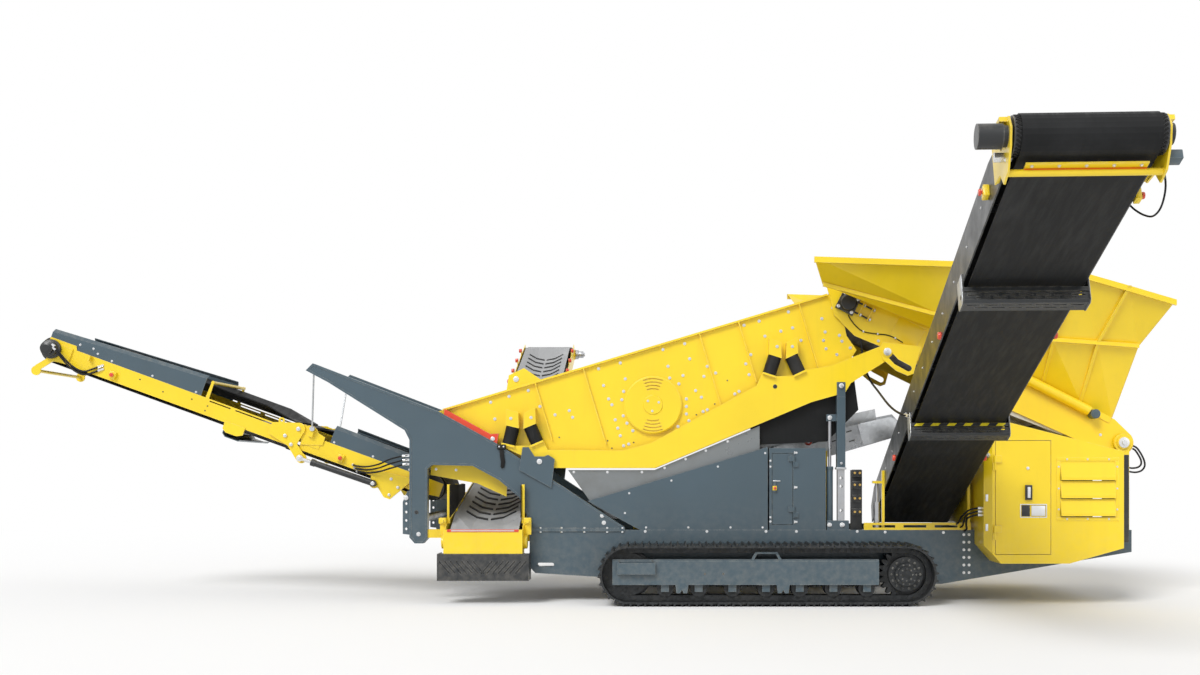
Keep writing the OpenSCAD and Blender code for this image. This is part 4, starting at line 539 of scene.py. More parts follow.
hoseSet = {
    "postThick": 0.020, "motorThick": 0.022, "loopThick": 0.022, "sideThick": 0.024, "pipeThick": 0.022,
    "post": [[(-2.104, -0.89, 1.73), (-2.18, -0.89, 1.728), (-2.36, -0.80, 1.69), (-2.52, -0.70, 1.63),
              (-2.68, -0.625, 1.60), (-2.80, -0.592, 1.608), (-2.87, -0.576, 1.625)],
             [(-2.104, -0.89, 1.68), (-2.18, -0.89, 1.677), (-2.36, -0.80, 1.635), (-2.52, -0.70, 1.585),
              (-2.68, -0.625, 1.562), (-2.79, -0.592, 1.572), (-2.85, -0.576, 1.585)],
             [(-2.104, -0.89, 1.63), (-2.18, -0.89, 1.625), (-2.36, -0.80, 1.58), (-2.52, -0.70, 1.54),
              (-2.66, -0.625, 1.525), (-2.76, -0.592, 1.535), (-2.82, -0.576, 1.55)]],
    "motor": [[(-6.447, -0.722, 3.068), (-6.42, -0.722, 3.05), (-6.352, -0.70, 2.955), (-6.268, -0.66, 2.845),
               (-6.18, -0.63, 2.775), (-6.10, -0.61, 2.755), (-6.01, -0.595, 2.785), (-5.90, -0.577, 2.83)],
              [(-6.437, -0.722, 3.036), (-6.41, -0.722, 3.01), (-6.352, -0.70, 2.92), (-6.268, -0.66, 2.81),
               (-6.18, -0.63, 2.738), (-6.10, -0.61, 2.715), (-6.01, -0.595, 2.74), (-5.90, -0.577, 2.785)]],
    "loop": [[(6.512, -0.822, 1.850), (6.56, -0.822, 1.822), (6.612, -0.820, 1.75), (6.652, -0.815, 1.665),
              (6.655, -0.812, 1.60), (6.615, -0.81, 1.55), (6.54, -0.81, 1.532), (6.45, -0.81, 1.545),
              (6.35, -0.81, 1.557), (6.27, -0.81, 1.56)],
             [(6.508, -0.822, 1.815), (6.54, -0.822, 1.795), (6.582, -0.820, 1.735), (6.612, -0.815, 1.675),
              (6.612, -0.812, 1.625), (6.575, -0.81, 1.592), (6.51, -0.81, 1.582), (6.44, -0.81, 1.592),
              (6.35, -0.81, 1.60), (6.27, -0.81, 1.602)]],
    "side": [(3.27, -0.806, 3.14), (3.275, -0.796, 3.05), (3.29, -0.79, 2.93), (3.322, -0.79, 2.781),
             (3.375, -0.85, 2.62), (3.379, -1.3, 2.48), (3.350, -2.1, 2.285), (3.345, -2.6, 2.18),
             (3.375, -2.86, 2.13), (3.413, -2.94, 2.111)],
    "pipes": [(4.588, 1.12), (4.588, 1.08), (4.588, 1.04)], "pipeShift": 0.045}

for index, route in enumerate(hoseSet["post"]):
    makeHose("postHose" + str(index), route, hoseSet["postThick"], "plant")
for index, route in enumerate(hoseSet["motor"]):
    makeHose("motorHose" + str(index), route, hoseSet["motorThick"], "front_outer")
for index, route in enumerate(hoseSet["loop"]):
    makeHose("feederHose" + str(index), route, hoseSet["loopThick"], "plant")
makeHose("sideHose", hoseSet["side"], hoseSet["sideThick"], "plant")
for index, (x, z) in enumerate(hoseSet["pipes"]):
    shift = index * hoseSet["pipeShift"]
    makeHose("packHose" + str(index), [
        (x, -1.30, z), (x - 0.06, -1.30, z - 0.002), (x - 0.15, -1.27, z - 0.03),
        (x - 0.20 + shift / 2, -1.18, z - 0.10), (x - 0.21 + shift, -1.06, z - 0.17),
        (x - 0.21 + shift, -0.952, z - 0.20)], hoseSet["pipeThick"], "plant")


def makeFittings():
    form = bmesh.new()
    for z in (1.73, 1.68, 1.63):
        addRound(form, (-2.102, -0.89, z), (-2.160, -0.89, z - 0.001), 0.017, sides=6)
        addRound(form, (-2.160, -0.89, z - 0.001), (-2.195, -0.889, z - 0.003), 0.0145, sides=12)
    for route in hoseSet["post"]:
        end = Vector(route[-1])
        addRound(form, end + Vector((0, 0.006, 0)), end + Vector((0.02, -0.006, -0.004)), 0.017, sides=6)
    for route in hoseSet["loop"]:
        addRound(form, route[-1], (6.33, route[-1][1], route[-1][2]), 0.0165, sides=6)
    for x, z in hoseSet["pipes"]:
        addRound(form, (x + 0.002, -1.30, z), (x - 0.05, -1.30, z), 0.018, sides=6)
    addRound(form, (3.413, -2.94, 2.111), (3.385, -2.875, 2.128), 0.018, sides=6)
    finishPiece("hoseFittings", form, "zinc")
    form = bmesh.new()
    for route in hoseSet["motor"]:
        addRound(form, route[0], Vector(route[0]).lerp(Vector(route[1]), 1.3), 0.017, sides=6)
        end = Vector(route[-1])
        addRound(form, end + Vector((0.012, 0.005, 0.004)), end.lerp(Vector(route[-2]), 0.5), 0.017, sides=6)
    finishPiece("motorFittings", form, "zinc", "front_outer")


makeFittings()
print("hoses laid")

# bolts, pins and rivets

boltSet = {  # most places read from enlarged crops, then turned into metres
    "screenBolts": {"face": 0.800, "size": 0.019, "ring": ((0.781, 2.337), 0.378), "spots": [
        (-1.16, 2.37), (-0.94, 2.44), (-0.71, 2.51), (0.13, 2.77), (0.39, 2.84), (0.90, 3.00), (1.16, 3.07),
        (1.87, 3.29), (2.05, 3.34), (2.40, 3.45), (-1.11, 2.17), (-0.57, 2.32), (-0.39, 2.22), (-0.22, 2.27),
        (-0.18, 2.19), (0.19, 2.57), (0.25, 2.41), (0.29, 2.34), (0.33, 2.16), (0.36, 2.06), (0.39, 1.97),
        (0.45, 2.65), (0.43, 2.50), (0.41, 2.40), (0.43, 2.21), (0.47, 2.12), (0.54, 2.03), (0.43, 1.85),
        (0.49, 1.87), (0.96, 2.80), (1.22, 2.89), (0.98, 2.66), (1.14, 2.69), (1.09, 2.59), (1.18, 2.41),
        (1.18, 2.32), (1.18, 2.23), (1.21, 2.15), (1.08, 2.08), (1.29, 2.51), (1.39, 2.68), (1.43, 2.80),
        (1.53, 2.72), (1.36, 2.43), (1.38, 2.26), (1.43, 2.28), (1.76, 2.47), (1.81, 2.50), (1.89, 2.83),
        (1.93, 2.70), (1.95, 2.94), (2.12, 3.16), (2.31, 3.22), (2.45, 3.26), (2.55, 3.11), (2.80, 3.37),
        (2.84, 3.21), (2.82, 3.11), (2.85, 3.01), (2.93, 3.50), (3.01, 3.17), (3.04, 3.10), (2.98, 2.94),
        (3.14, 3.02)]},
    "springBoxBolts": {"face": 0.965, "size": 0.019, "spots": [
        (-0.66, 2.18), (-0.90, 2.17), (2.25, 3.02), (2.43, 3.02)]},
    "hopperBolts": {"face": 0.880, "size": 0.016, "spots": [
        (-0.16, 1.535), (0.24, 1.535), (0.65, 1.535), (0.92, 1.585), (1.17, 1.69), (1.41, 1.79),
        (1.67, 1.90)]},
    "chassisBolts": {"face": 0.950, "size": 0.017, "spots": [
        (0.69, 0.832), (1.42, 0.832), (2.12, 0.832), (2.48, 0.832), (3.20, 0.832), (3.53, 0.825),
        (4.22, 0.82)]
        + [(x, 0.345 + 0.09 * row) for x in (4.462, 4.524) for row in range(6)]},
    "frameBolts": {"face": 0.944, "size": 0.026, "spots": [(0.18, 1.02), (0.20, 0.935), (-1.995, 0.80)]},
    "coverBolts": {"face": 0.950, "size": 0.013, "spots": [
        (0.45, 1.05), (2.172, 1.67), (2.172, 1.60), (2.172, 1.00), (2.172, 0.95), (0.70, 0.88), (1.20, 0.88),
        (1.70, 0.88), (2.08, 0.88), (2.11, 1.76), (1.55, 1.60), (1.00, 1.435), (0.50, 1.285)]},
    "feederBolts": {"face": 0.832, "size": 0.018, "spots": [
        (3.36, 3.61), (3.47, 3.10), (3.95, 3.34), (6.12, 1.98)]},
    "chuteBolts": {"face": 0.760, "size": 0.016, "spots": [(-1.82, 1.57), (-1.58, 1.56)]},
    "louvreRivets": {"face": 1.456, "size": 0.011, "spots": [
        (x, z) for x in (5.52, 5.755, 5.998) for z in (1.683, 1.000)]
        + [(x, z) for x in (5.424, 6.094) for z in (1.11, 1.348, 1.597)]},
    "exciterBolts": {"face": 0.862, "size": 0.015, "spots": [
        (0.781 + 0.075 * math.cos(a), 2.337 + 0.075 * math.sin(a)) for a in (0.4, 2.5, 4.6)]},
}


def makeBolts():
    for name, row in boltSet.items():
        form = bmesh.new()
        for side in sides:
            for x, z in row["spots"]:
                if "ring" in row:  # keep clear of the exciter cover
                    middle, clear = Vector(row["ring"][0]), row["ring"][1]
                    away = Vector((x, z)) - middle
                    if away.length < clear:
                        x, z = middle + away.normalized() * clear
                addBolt(form, (x, side * row["face"], z), (0, side, 0), row["size"])
        finishPiece(name, form, "zinc")


makeBolts()

pinSet = {  # face from the middle, then place in the side view and radius
    "plain": [(0.950, 2.872, 0.910, 0.028), (0.950, 3.022, 0.910, 0.030), (0.952, 3.0118, 2.5573, 0.030),
              (0.910, 2.880, 2.180, 0.028), (0.920, -1.120, 1.930, 0.026), (0.975, -0.560, 1.660, 0.032),
              (0.948, 3.5578, 2.9603, 0.046), (0.910, 6.374, 1.886, 0.064), (0.910, -2.150, 1.230, 0.030)],
    "screen": [(0.800, 1.030, 0.100, 0.034)],
    "bearing": [(0.872, x, z, 0.021) for x in (-0.087, 0.087) for z in (-0.087, 0.087)],
    "outer": [(0.623, -0.125, -0.132, 0.022), (0.623, -0.021, -0.208, 0.022), (0.626, 0.0, 0.0, 0.026)],
    "outerSkirt": [(-2.853, 0.050), (-2.685, 0.060), (-2.614, 0.020), (-2.424, -0.004), (-1.336, -0.008),
        (-1.90, -0.004)],
    "outerDots": [(-2.029, -0.097), (-1.715, -0.142), (-1.355, -0.107), (-1.147, -0.12), (-1.157, -0.184)],
    "inner": [(0.588, 0.155, 0.062, 0.018), (0.614, 1.26, -0.187, 0.018), (0.614, 1.37, -0.255, 0.018),
              (0.614, 1.30, -0.375, 0.018), (0.698, 1.084, -0.306, 0.024)],
    "innerSkirt": [(0.449, -0.008), (0.95, -0.008), (1.42, -0.008)],
    "plugs": [(-0.34, 1.95), (0.24, 1.91), (0.29, 1.82), (0.55, 1.89), (1.67, 2.63), (1.52, 2.35),
        (1.30, 2.22), (1.44, 2.19)],  # small holes in the side plates
}


def pinCaps(name):
    return [((x, face, z), size) for face, x, z, size in pinSet[name]]


def makePins():
    skirt = {"face": 0.572, "size": 0.014}
    makePiece(
        "bearingPins", "zinc", {"caps": pinCaps("plain")}, {"caps": pinCaps("screen"), "place": screenPlace},
        {"caps": pinCaps("bearing"), "place": feederPlace, "rounds": [  # with the nuts of the take-up screws
            ((x, 0.856, z), (x + 0.02, 0.856, z), 0.022, {"sides": 6}) for x in (0.187, 0.312)
            for z in (-0.062, 0.062)]},
        {"caps": pinCaps("inner"), "bolts": sideBolts(pinSet["innerSkirt"], **skirt), "place": frontPlace},
        {"rounds": [((x, 0.957, foot), (x, 0.957, top), 0.013, {"sides": 6})  # through the two flanges
                    for x in (-0.55, -0.30, -0.03, 0.24, 0.42)
                    for foot, top in ((0.865, 0.884), (0.835, 0.818))]})
    makePiece("outerPins", "zinc", {
        "caps": pinCaps("outer"), "bolts": sideBolts(pinSet["outerSkirt"], **skirt), "place": frontPlace},
        body="front_outer")
    makePiece("outerDots", "dark_steel", {
        "bolts": sideBolts(pinSet["outerDots"], skirt["face"], 0.009), "place": frontPlace},
        body="front_outer")
    for side, body in ((-1, "rod_near"), (1, "rod_far")):
        eye = {"caps": [((0.150, 0.690, -0.323), 0.030)], "place": frontPlace, "sides": (side,)}
        makePiece("rodEye" + body[3:], "zinc", eye, body=body)
    plug = {"sides": 18, "bevelBy": 0.002}
    makePiece("holePlugs", "dark_steel", {"rounds": [
        ((x, 0.799, z), (x, 0.805, z), 0.009, {"sides": 10}) for x, z in pinSet["plugs"]] + [
        ((2.23, 0.921, 2.55), (2.23, 0.926, 2.55), 0.026, plug),
        ((-2.02, 0.943, 1.06), (-2.02, 0.948, 1.06), 0.024, plug)]})


makePins()
print("bolts and pins set")

# power pack housing

def frameBars(low, high, openLow, openHigh, back, front, bevelBy):
    (x0, z0), (x1, z1), (a0, b0), (a1, b1) = low, high, openLow, openHigh
    bars = ((x0, z0, x1, b0), (x0, b1, x1, z1), (x0, b0, a0, b1), (a1, b0, x1, b1))
    return [((left, back, foot), (right, front, top), bevelBy) for left, foot, right, top in bars]


louvreBars = frameBars((5.402, 0.978), (6.116, 1.705), (5.446, 1.018), (6.072, 1.662), 1.449, 1.456, 0.002)
latchBars = frameBars((4.984, 1.014), (5.292, 1.171), (4.994, 1.024), (5.282, 1.161), -1.437, -1.4535, 0.0015)
panelSet = {"bolts": [(x, z) for x in (4.77, 5.035, 5.30) for z in (0.63, 1.86)]
            + [(x, z) for z in (1.05, 1.45) for x in (4.77, 5.30)], "face": 1.455, "size": 0.012}


def makeHousing():
    makePiece("louvreFrames", "yellow_paint", {"blocks": louvreBars}, {
        "blocks": [((4.74, 1.449, 0.60), (5.33, panelSet["face"], 1.89), 0.003)],  # panel on the far side
        "sides": asDrawn})
    makePiece("housingFittings", "zinc", {
        "bolts": sideBolts(panelSet["bolts"], panelSet["face"], panelSet["size"]),
        "rounds": [((4.640, -1.398, 1.73), (4.605, -1.433, 1.73), 0.030, {"sides": 18, "bevelBy": 0.004}),
                   ((4.612, -1.426, 1.73), (4.590, -1.448, 1.73), 0.016, {"sides": 12})],
        "blocks": [((4.600, -1.412, z), (4.630, -1.404, z + 0.08), 0.002) for z in (0.86, 1.20)],
        "sides": asDrawn})
    makePiece("doorLatch", "zinc", {
        "blocks": latchBars + [((5.115, -1.449, 1.034), (5.274, -1.437, 1.152), 0.004),
                               ((5.060, -1.489, 1.240), (5.094, -1.478, 1.366), 0.004)],
        "rounds": [((5.072, -1.449, 1.58), (5.072, -1.460, 1.58), 0.018, {"sides": 18, "bevelBy": 0.002})],
        "sides": asDrawn}, body="engine_door")
    makePiece("doorGrip", "dark_steel", {
        "blocks": [((5.0375, -1.4825, 1.2175), (5.1165, -1.452, 1.3885), 0.006),
                   ((5.004, -1.444, 1.030), (5.100, -1.4375, 1.156), 0.003)],
        "sides": asDrawn}, body="engine_door")


makeHousing()

# control cabinet

def makeCabinet():
    makePiece("switchPlate", "yellow_paint", {
        "blocks": [((2.195, -0.988, 1.318), (2.245, -0.979, 1.372), 0.003)], "sides": asDrawn},
        body="cabinet_door")
    makePiece("switchKnob", "red_paint", {
        "rounds": [((2.222, -0.987, 1.345), (2.222, -0.999, 1.345), 0.017, {"sides": 18, "bevelBy": 0.003})],
        "blocks": [((2.217, -1.008, 1.326), (2.227, -0.995, 1.364), 0.002)], "sides": asDrawn},
        body="cabinet_door")
    makePiece("cabinetBar", "zinc", {
        "blocks": [((2.200, -0.962, 1.424), (2.290, -0.949, 1.436), 0.003)], "sides": asDrawn},
        body="cabinet_door")
    heights = (0.945, 1.355, 1.765)
    makePiece("cabinetHinges", "zinc", {
        "blocks": [((2.452, -0.957, z - 0.012), (2.492, -0.949, z + 0.012), 0.002) for z in heights],
        "rounds": [((2.4575, -0.958, z - 0.016), (2.4575, -0.958, z + 0.016), 0.008, {"sides": 10})
            for z in heights],
        "sides": asDrawn})


makeCabinet()

# stop buttons on the conveyors

stopSet = {  # place, middle of the back, way out, body
    "sideStopLeft": (sidePlace, (7.50, -0.487, 0.04), (0, -1, 0), "plant"),
    "sideStopRight": (sidePlace, (7.62, 0.487, -0.075), (0, 1, 0), "plant"),
    "innerStop": (frontPlace, (0.595, -0.572, -0.160), (0, -1, 0), "plant"),
    "outerStop": (frontPlace, (-2.347, -0.572, -0.159), (0, -1, 0), "front_outer"),
}


def makeStops():
    for name, (place, at, out, body) in stopSet.items():
        at, out = Vector(at), Vector(out)
        form = bmesh.new()
        corner = Vector((0.038, 0, 0.045))
        addBlock(form, at - corner, at + corner + out * 0.046, place, bevelBy=0.006)
        finishPiece(name + "Box", form, "yellow_paint", body)
        form = bmesh.new()
        addRound(form, at + out * 0.045, at + out * 0.058, 0.014, place, sides=14)
        addRound(form, at + out * 0.057, at + out * 0.074, 0.027, place, tip=0.024, sides=20, bevelBy=0.004)
        finishPiece(name + "Button", form, "red_paint", body)


makeStops()
print("housing, cabinet and switches fitted")

# side conveyor

sideSet = {"length": 8.25, "guards": (3.395, 6.340), "guardDrop": -0.147, "caps": (5.35, 2.20),
           "dashes": 6, "dashPitch": 0.164, "dashWide": 0.078, "dashTall": 0.030, "lean": 0.9,
           "bolts": 12, "boltFrom": 0.85, "boltPitch": 0.58,
           "lugs": 28, "drum": 0.134, "lugTurn": 35, "lugHalf": (0.004, 0.010, 0.008)}


def makeHead():
    end = sideSet["length"]
    makePiece("scraperBlade", "orangeBlade", {
        "blocks": [((end - 0.136, y, -0.199), (end - 0.092, y + 0.264, -0.188), 0.002)
                   for y in (-0.398, -0.132, 0.134)], "place": sidePlace, "sides": asDrawn})
    plateBolts = [(sideSet["boltFrom"] + step * sideSet["boltPitch"], 0.075)
        for step in range(sideSet["bolts"])]
    headBolts = [(end - 0.36, 0.10), (end - 0.22, 0.10), (end - 0.08, -0.13)]
    makePiece("sideHeadSteel", "zinc", {
        "bolts": [((end - 0.066, y, -0.188), (0, 0, -1), 0.013) for y in (-0.355, -0.178, 0.0, 0.178, 0.355)],
        "blocks": [((end - 0.150, -0.585, -0.105), (end - 0.095, -0.462, -0.060), 0.005)],
        "place": sidePlace, "sides": asDrawn}, {
        "bolts": sideBolts(plateBolts, 0.487, 0.011) + sideBolts(headBolts, 0.519, 0.016),
        "rounds": [((end - 0.20, 0.545, 0.05), (end + 0.02, 0.545, 0.05), 0.012, {"sides": 12})]
        + [((x, 0.545, 0.05), (x + 0.018, 0.545, 0.05), 0.022, {"sides": 6})
            for x in (end - 0.20, end - 0.09, end)],
        "place": sidePlace})
    makePiece("sideHeadBlock", "slate_paint", {
        "blocks": [((end - 0.170, 0.520, -0.130), (end - 0.080, 0.640, -0.062), 0.006)],
        "plates": [([(end - 0.13, -0.12), (end - 0.11, -0.12), (end - 0.16, -0.23), (end - 0.18, -0.23)],
                    0.522, 0.536, 0.0)], "place": sidePlace, "sides": asDrawn})


def makeGuards():
    drop = sideSet["guardDrop"]
    cheek = ((-0.096, -0.042), (0.085, -0.042), (0.085, drop - 0.119), (0.060, drop - 0.145),
             (-0.077, drop - 0.145), (-0.096, drop - 0.119))
    makePiece("guardCheeks", "galvanised", {
        "plates": [([(x + px, pz) for px, pz in cheek], 0.4965, 0.501, 0.0015) for x in sideSet["guards"]],
        "place": sidePlace})
    makePiece("cheekHoles", "dark_steel", {
        "rounds": [((x + 0.02, 0.500, drop - 0.07), (x + 0.02, 0.503, drop - 0.07), 0.020, {"sides": 14})
                   for x in sideSet["guards"]], "place": sidePlace})
    form = bmesh.new()
    lean = Matrix(((1, 0, 0, 0), (0, 1, sideSet["lean"], 0), (0, 0, 1, 0), (0, 0, 0, 1)))
    wide, tall = sideSet["dashWide"] / 2, sideSet["dashTall"] / 2
    for spot in range(sideSet["dashes"]):
        y = (spot - (sideSet["dashes"] - 1) / 2) * sideSet["dashPitch"]
        place = sidePlace @ moveTo(sideSet["guards"][0] + 0.0805, y, drop - 0.026) @ lean
        addBlock(form, (-0.001, -wide, -tall), (0.0012, wide, tall), place)
    finishPiece("guardDashes", form, "dashYellow")


def makeRollers():
    makePiece("sideRollerCaps", "red_paint", {
        "rounds": [((x, 0.486, -0.072), (x, 0.517, -0.072), 0.036,
            {"tip": 0.031, "sides": 20, "bevelBy": 0.004})
                   for x in sideSet["caps"]], "place": sidePlace})
    form = bmesh.new()
    radius, half = sideSet["drum"], Vector(sideSet["lugHalf"])
    for side in sides:  # drum lagging past the belt edge
        for step in range(2 * sideSet["lugs"]):
            angle = math.pi * step / sideSet["lugs"]
            y = 0.474 if step % 2 else 0.456
            spot = (sideSet["length"] + radius * math.cos(angle), side * y, radius * math.sin(angle))
            tilt = turn(-math.degrees(angle), "Y") @ turn(side * sideSet["lugTurn"], "X")
            addBlock(form, -half, half, sidePlace @ moveTo(*spot) @ tilt)
    finishPiece("drumLagging", form, "spring_rubber")


makeHead()
makeGuards()
makeRollers()
headCable = [(8.06, 0.521, -0.12), (8.055, 0.545, -0.17), (8.00, 0.560, -0.26), (7.88, 0.562, -0.325),
             (7.74, 0.556, -0.31), (7.62, 0.540, -0.23), (7.54, 0.512, -0.14), (7.50, 0.489, -0.07)]
makeHose("headCable", [sidePlace @ Vector(spot) for spot in headCable], 0.014, "plant")

# cross conveyor

crossSet = {"tail": (-1.130, 0.720), "lowSlope": 13.0, "lowLength": 2.420, "upSlope": 21.2, "upLength": 6.754,
            "pitch": 0.24, "flat": 0.16, "half": 0.40, "lift": 0.09, "beltTop": 0.142,
            "cleatTall": 0.016, "cleatWide": 0.055, "inner": 0.018, "reach": 0.30, "sweep": 0.19,
            "cleatRuns": ((0.45, 2.20), (0.12, 6.10)), "rollers": [0.5 + 0.62 * step for step in range(10)]}


def crossFrames():
    x, z = crossSet["tail"]
    low = crossPlace @ moveTo(x, 0, z) @ turn(-crossSet["lowSlope"], "Y")
    bend = turn(crossSet["lowSlope"] - crossSet["upSlope"], "Y")
    return low, low @ moveTo(crossSet["lowLength"], 0, 0) @ bend


def addCleat(form, place, x, side, strand):
    flat, inner, reach = crossSet["flat"], crossSet["inner"], crossSet["reach"]
    corners = []
    for along, up in ((-0.5, -0.1), (0.5, -0.1), (0.35, 0.9), (-0.35, 0.9)):
        level = strand * (crossSet["beltTop"] + up * crossSet["cleatTall"])
        corners.append(form.verts.new(place @ Vector((x + along * crossSet["cleatWide"], side * inner,
            level))))
    face = form.faces.new(corners)
    slope = crossSet["lift"] / (crossSet["half"] - flat) if strand > 0 else 0.0  # the wings rise on top only
    for run, rise in ((flat - inner, 0.0), (reach - flat, slope)):
        step = Vector((crossSet["sweep"] * run / (reach - inner), side * run, rise * run))
        face = grow(form, face, place.to_3x3() @ step)[1]


def makeChevrons():
    form = bmesh.new()
    for place, (start, end) in zip(crossFrames(), crossSet["cleatRuns"]):
        for spot in range(int((end - start) / crossSet["pitch"]) + 1):
            for side in sides:
                for strand in (1, -1):
                    addCleat(form, place, start + spot * crossSet["pitch"], side, strand)
    # The cleats' dark colour is partly less dust, partly painted shade.
    finishPiece("chevronCleats", form, "cleatRubberAndShade")


def makeCross():
    high, head = crossFrames()[1], crossSet["upLength"]
    makePiece("crossBrackets", "yellow_paint", {
        "plates": [([(x - 0.05, 0.18), (x + 0.05, 0.18), (x + 0.03, 0.285), (x - 0.03, 0.285)], 0.446, 0.456,
            0.0)
                   for x in crossSet["rollers"]], "place": high}, {
        "blocks": [((-1.13, 0.455, 0.93), (-1.02, 0.54, 1.00), 0.008)],
        "rounds": [((-1.16, 0.50, 0.965), (-0.98, 0.50, 0.965), 0.022, {"sides": 14}),
                   ((-1.13, 0.456, 0.72), (-1.13, 0.50, 0.72), 0.08, {"sides": 24, "bevelBy": 0.006})],
        "place": crossPlace}, {
        "blocks": [((-1.10, 0.455, 0.80), (-1.05, 0.5292, 0.94), 0.006),
                   ((-1.10, -0.54, 0.80), (-1.05, -0.4459, 0.94), 0.006)],
        "place": crossPlace, "sides": asDrawn})
    makePiece("crossRollerCaps", "red_paint", {
        "rounds": [((x, 0.442, 0.262), (x, 0.492, 0.262), 0.038,
            {"tip": 0.033, "sides": 16, "bevelBy": 0.004})
                   for x in crossSet["rollers"]], "place": high})
    flange = {"sides": 24, "bevelBy": 0.006}
    makePiece("crossMotor", "cylinder_steel", {
        "rounds": [((head, -0.476, 0), (head, -0.536, 0), 0.085, flange),
                   ((head, -0.534, 0), (head, -0.626, 0), 0.062, flange),
                   ((head, -0.624, 0), (head, -0.651, 0), 0.035, {"sides": 18})],
        "place": high, "sides": asDrawn})
    makePiece("tailStrip", "red_paint", {
        "blocks": [((-1.2965, -0.415, 0.842), (-1.289, 0.415, 0.872), 0.002)], "place": crossPlace,
        "sides": asDrawn})
    makePiece("tailBand", "palePlate", {
        "blocks": [((-1.2978, -0.365, 0.850), (-1.2955, 0.365, 0.864), 0.0008)], "place": crossPlace,
        "sides": asDrawn})
    makePiece("crossSkirts", "spring_rubber", {  # along the loading end
        "plates": [([(-1.08, 1.00), (-1.08, 1.385), (0.06, 1.385), (0.06, 1.255), (-0.70, 1.07)], 0.412,
            0.422, 0.002)],
        "place": crossPlace})
    # Dark sheet behind the slotted tail guard: painted shade for the dark inside of the tail, seen through
    # the slots.
    makePiece("tailShadeSheet", "dark_paint", {
        "blocks": [((-1.2905, -0.522, 0.285), (-1.284, 0.522, 0.584), 0.002)], "place": crossPlace,
        "sides": asDrawn})
    makePiece("skirtHolders", "yellow_paint", {
        "blocks": [((y - 0.02, 0.422, foot), (y + 0.02, 0.456, 1.39), 0.003)
                   for y, foot in ((-1.02, 0.93), (-0.45, 1.05), (0.0, 1.15))], "place": crossPlace})


makeChevrons()
makeCross()
print("side and cross conveyors dressed")

# front conveyor

foldSet = {"reach": 0.101, "steps": 14, "across": 10, "thick": 0.01032, "half": 0.5, "flat": 0.2,
    "bendFrom": 0.095,
           "top": (0.036, 0.018), "under": (-0.276, -0.002)}  # level and rise of the edges


def makeFoldBelt(name, level, lift):
    form = bmesh.new()
    bmesh.ops.create_grid(form, x_segments=foldSet["steps"], y_segments=foldSet["across"], size=0.5)
    for vert in form.verts:
        x, y = vert.co.x * 2 * foldSet["reach"], vert.co.y * 2 * foldSet["half"]
        rise = max(0.0, abs(y) - foldSet["flat"]) / (foldSet["half"] - foldSet["flat"]) * lift
        vert.co = frontPlace @ Vector((x, y, level + rise))
    bmesh.ops.recalc_face_normals(form, faces=form.faces)
    bmesh.ops.solidify(form, geom=list(form.faces), thickness=foldSet["thick"])
    piece = linkPiece(name, form, "belt_rubber")
    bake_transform(piece)


makeFoldBelt("foldBeltTop", *foldSet["top"])
makeFoldBelt("foldBeltUnder", *foldSet["under"])

# feeder

feederSet = {"trays": ((1.74, 2.24), (2.27, 2.77), (2.80, 3.26)), "ribs": (-0.5, 0.0, 0.5),
             "clips": ((3.29, 3.212), (3.46, 3.182), (3.67, 3.132)),
             "panel": [(0.62, 0.125), (0.66, 0.15), (0.93, 0.15), (0.965, 0.115), (0.965, -0.105),
                 (0.93, -0.14),
                       (0.66, -0.14), (0.62, -0.105)],
             "web": [(1.76, -0.20), (3.0, -0.20), (3.0, -0.235), (2.4, -0.30), (1.76, -0.33)]}


def makeFeeder():
    makePiece("feederTray", "palePlate", {
        "blocks": [((start, -0.806, -0.206), (end, 0.806, -0.198), 0.002)
            for start, end in feederSet["trays"]]
        + [((start + 0.02, y - 0.02, -0.224), (end - 0.02, y + 0.02, -0.205), 0.003)
           for start, end in feederSet["trays"] for y in feederSet["ribs"]],
        "place": feederPlace, "sides": asDrawn}, {
        "plates": [(feederSet["web"], 0.798, 0.806, 0.0)], "place": feederPlace})
    makePiece("hopperPivots", "slate_paint", {
        "rounds": [((3.198, 0.830, 0.140), (3.198, 0.975, 0.140), 0.056, {"sides": 24, "bevelBy": 0.006}),
                   ((3.198, 0.975, 0.140), (3.198, 0.982, 0.140), 0.034, {"sides": 24})],
                   "place": feederPlace})
    makePiece("feederPanels", "yellow_paint", {
        "plates": [(feederSet["panel"], 0.831, 0.837, 0.002)], "place": feederPlace})
    makePiece("lineClips", "zinc", {
        "blocks": [((x - 0.008, 0.831, z - 0.012), (x + 0.008, 0.853, z + 0.012), 0.002)
                   for x, z in feederSet["clips"]]})


makeFeeder()
greaseLine = [(3.11, 0.846, 3.41), (3.13, 0.843, 3.37), (3.19, 0.842, 3.29), (3.29, 0.842, 3.212),
              (3.46, 0.842, 3.182), (3.57, 0.842, 3.17), (3.67, 0.842, 3.132), (3.76, 0.838, 3.08)]
for name, side in (("greaseLineNear", -1), ("greaseLineFar", 1)):
    makeHose(name, [across(spot, side) for spot in greaseLine], 0.012, "plant")

# fines conveyor, lift posts, valve bank, strap

underSet = {"end": 3.4493, "valves": (1.02, 1.18, 1.34, 1.48), "ports": (3.165, 3.225), "leg": 2.8818,
            "slots": ((0.46, 0.10), (0.46, -0.02), (0.66, 0.04), (0.90, 0.09), (0.90, -0.03), (1.15, 0.05)),
            "cheek": [(-0.34, -0.115), (0.06, -0.118), (0.13, -0.06), (0.155, 0.0), (0.13, 0.07),
                (0.07, 0.125),
                      (-0.34, 0.155)],
            "skirt": [(-1.86, 0.155), (-1.02, 0.190), (-0.10, 0.145), (-0.08, 0.27), (-1.02, 0.345),
                (-1.80, 0.300)],
            "strap": [(-1.035, 1.81), (-0.985, 1.81), (-0.978, 1.72), (-0.966, 1.66), (-0.978, 1.59),
                      (-1.008, 1.575), (-1.022, 1.60), (-1.018, 1.66), (-1.028, 1.72)]}


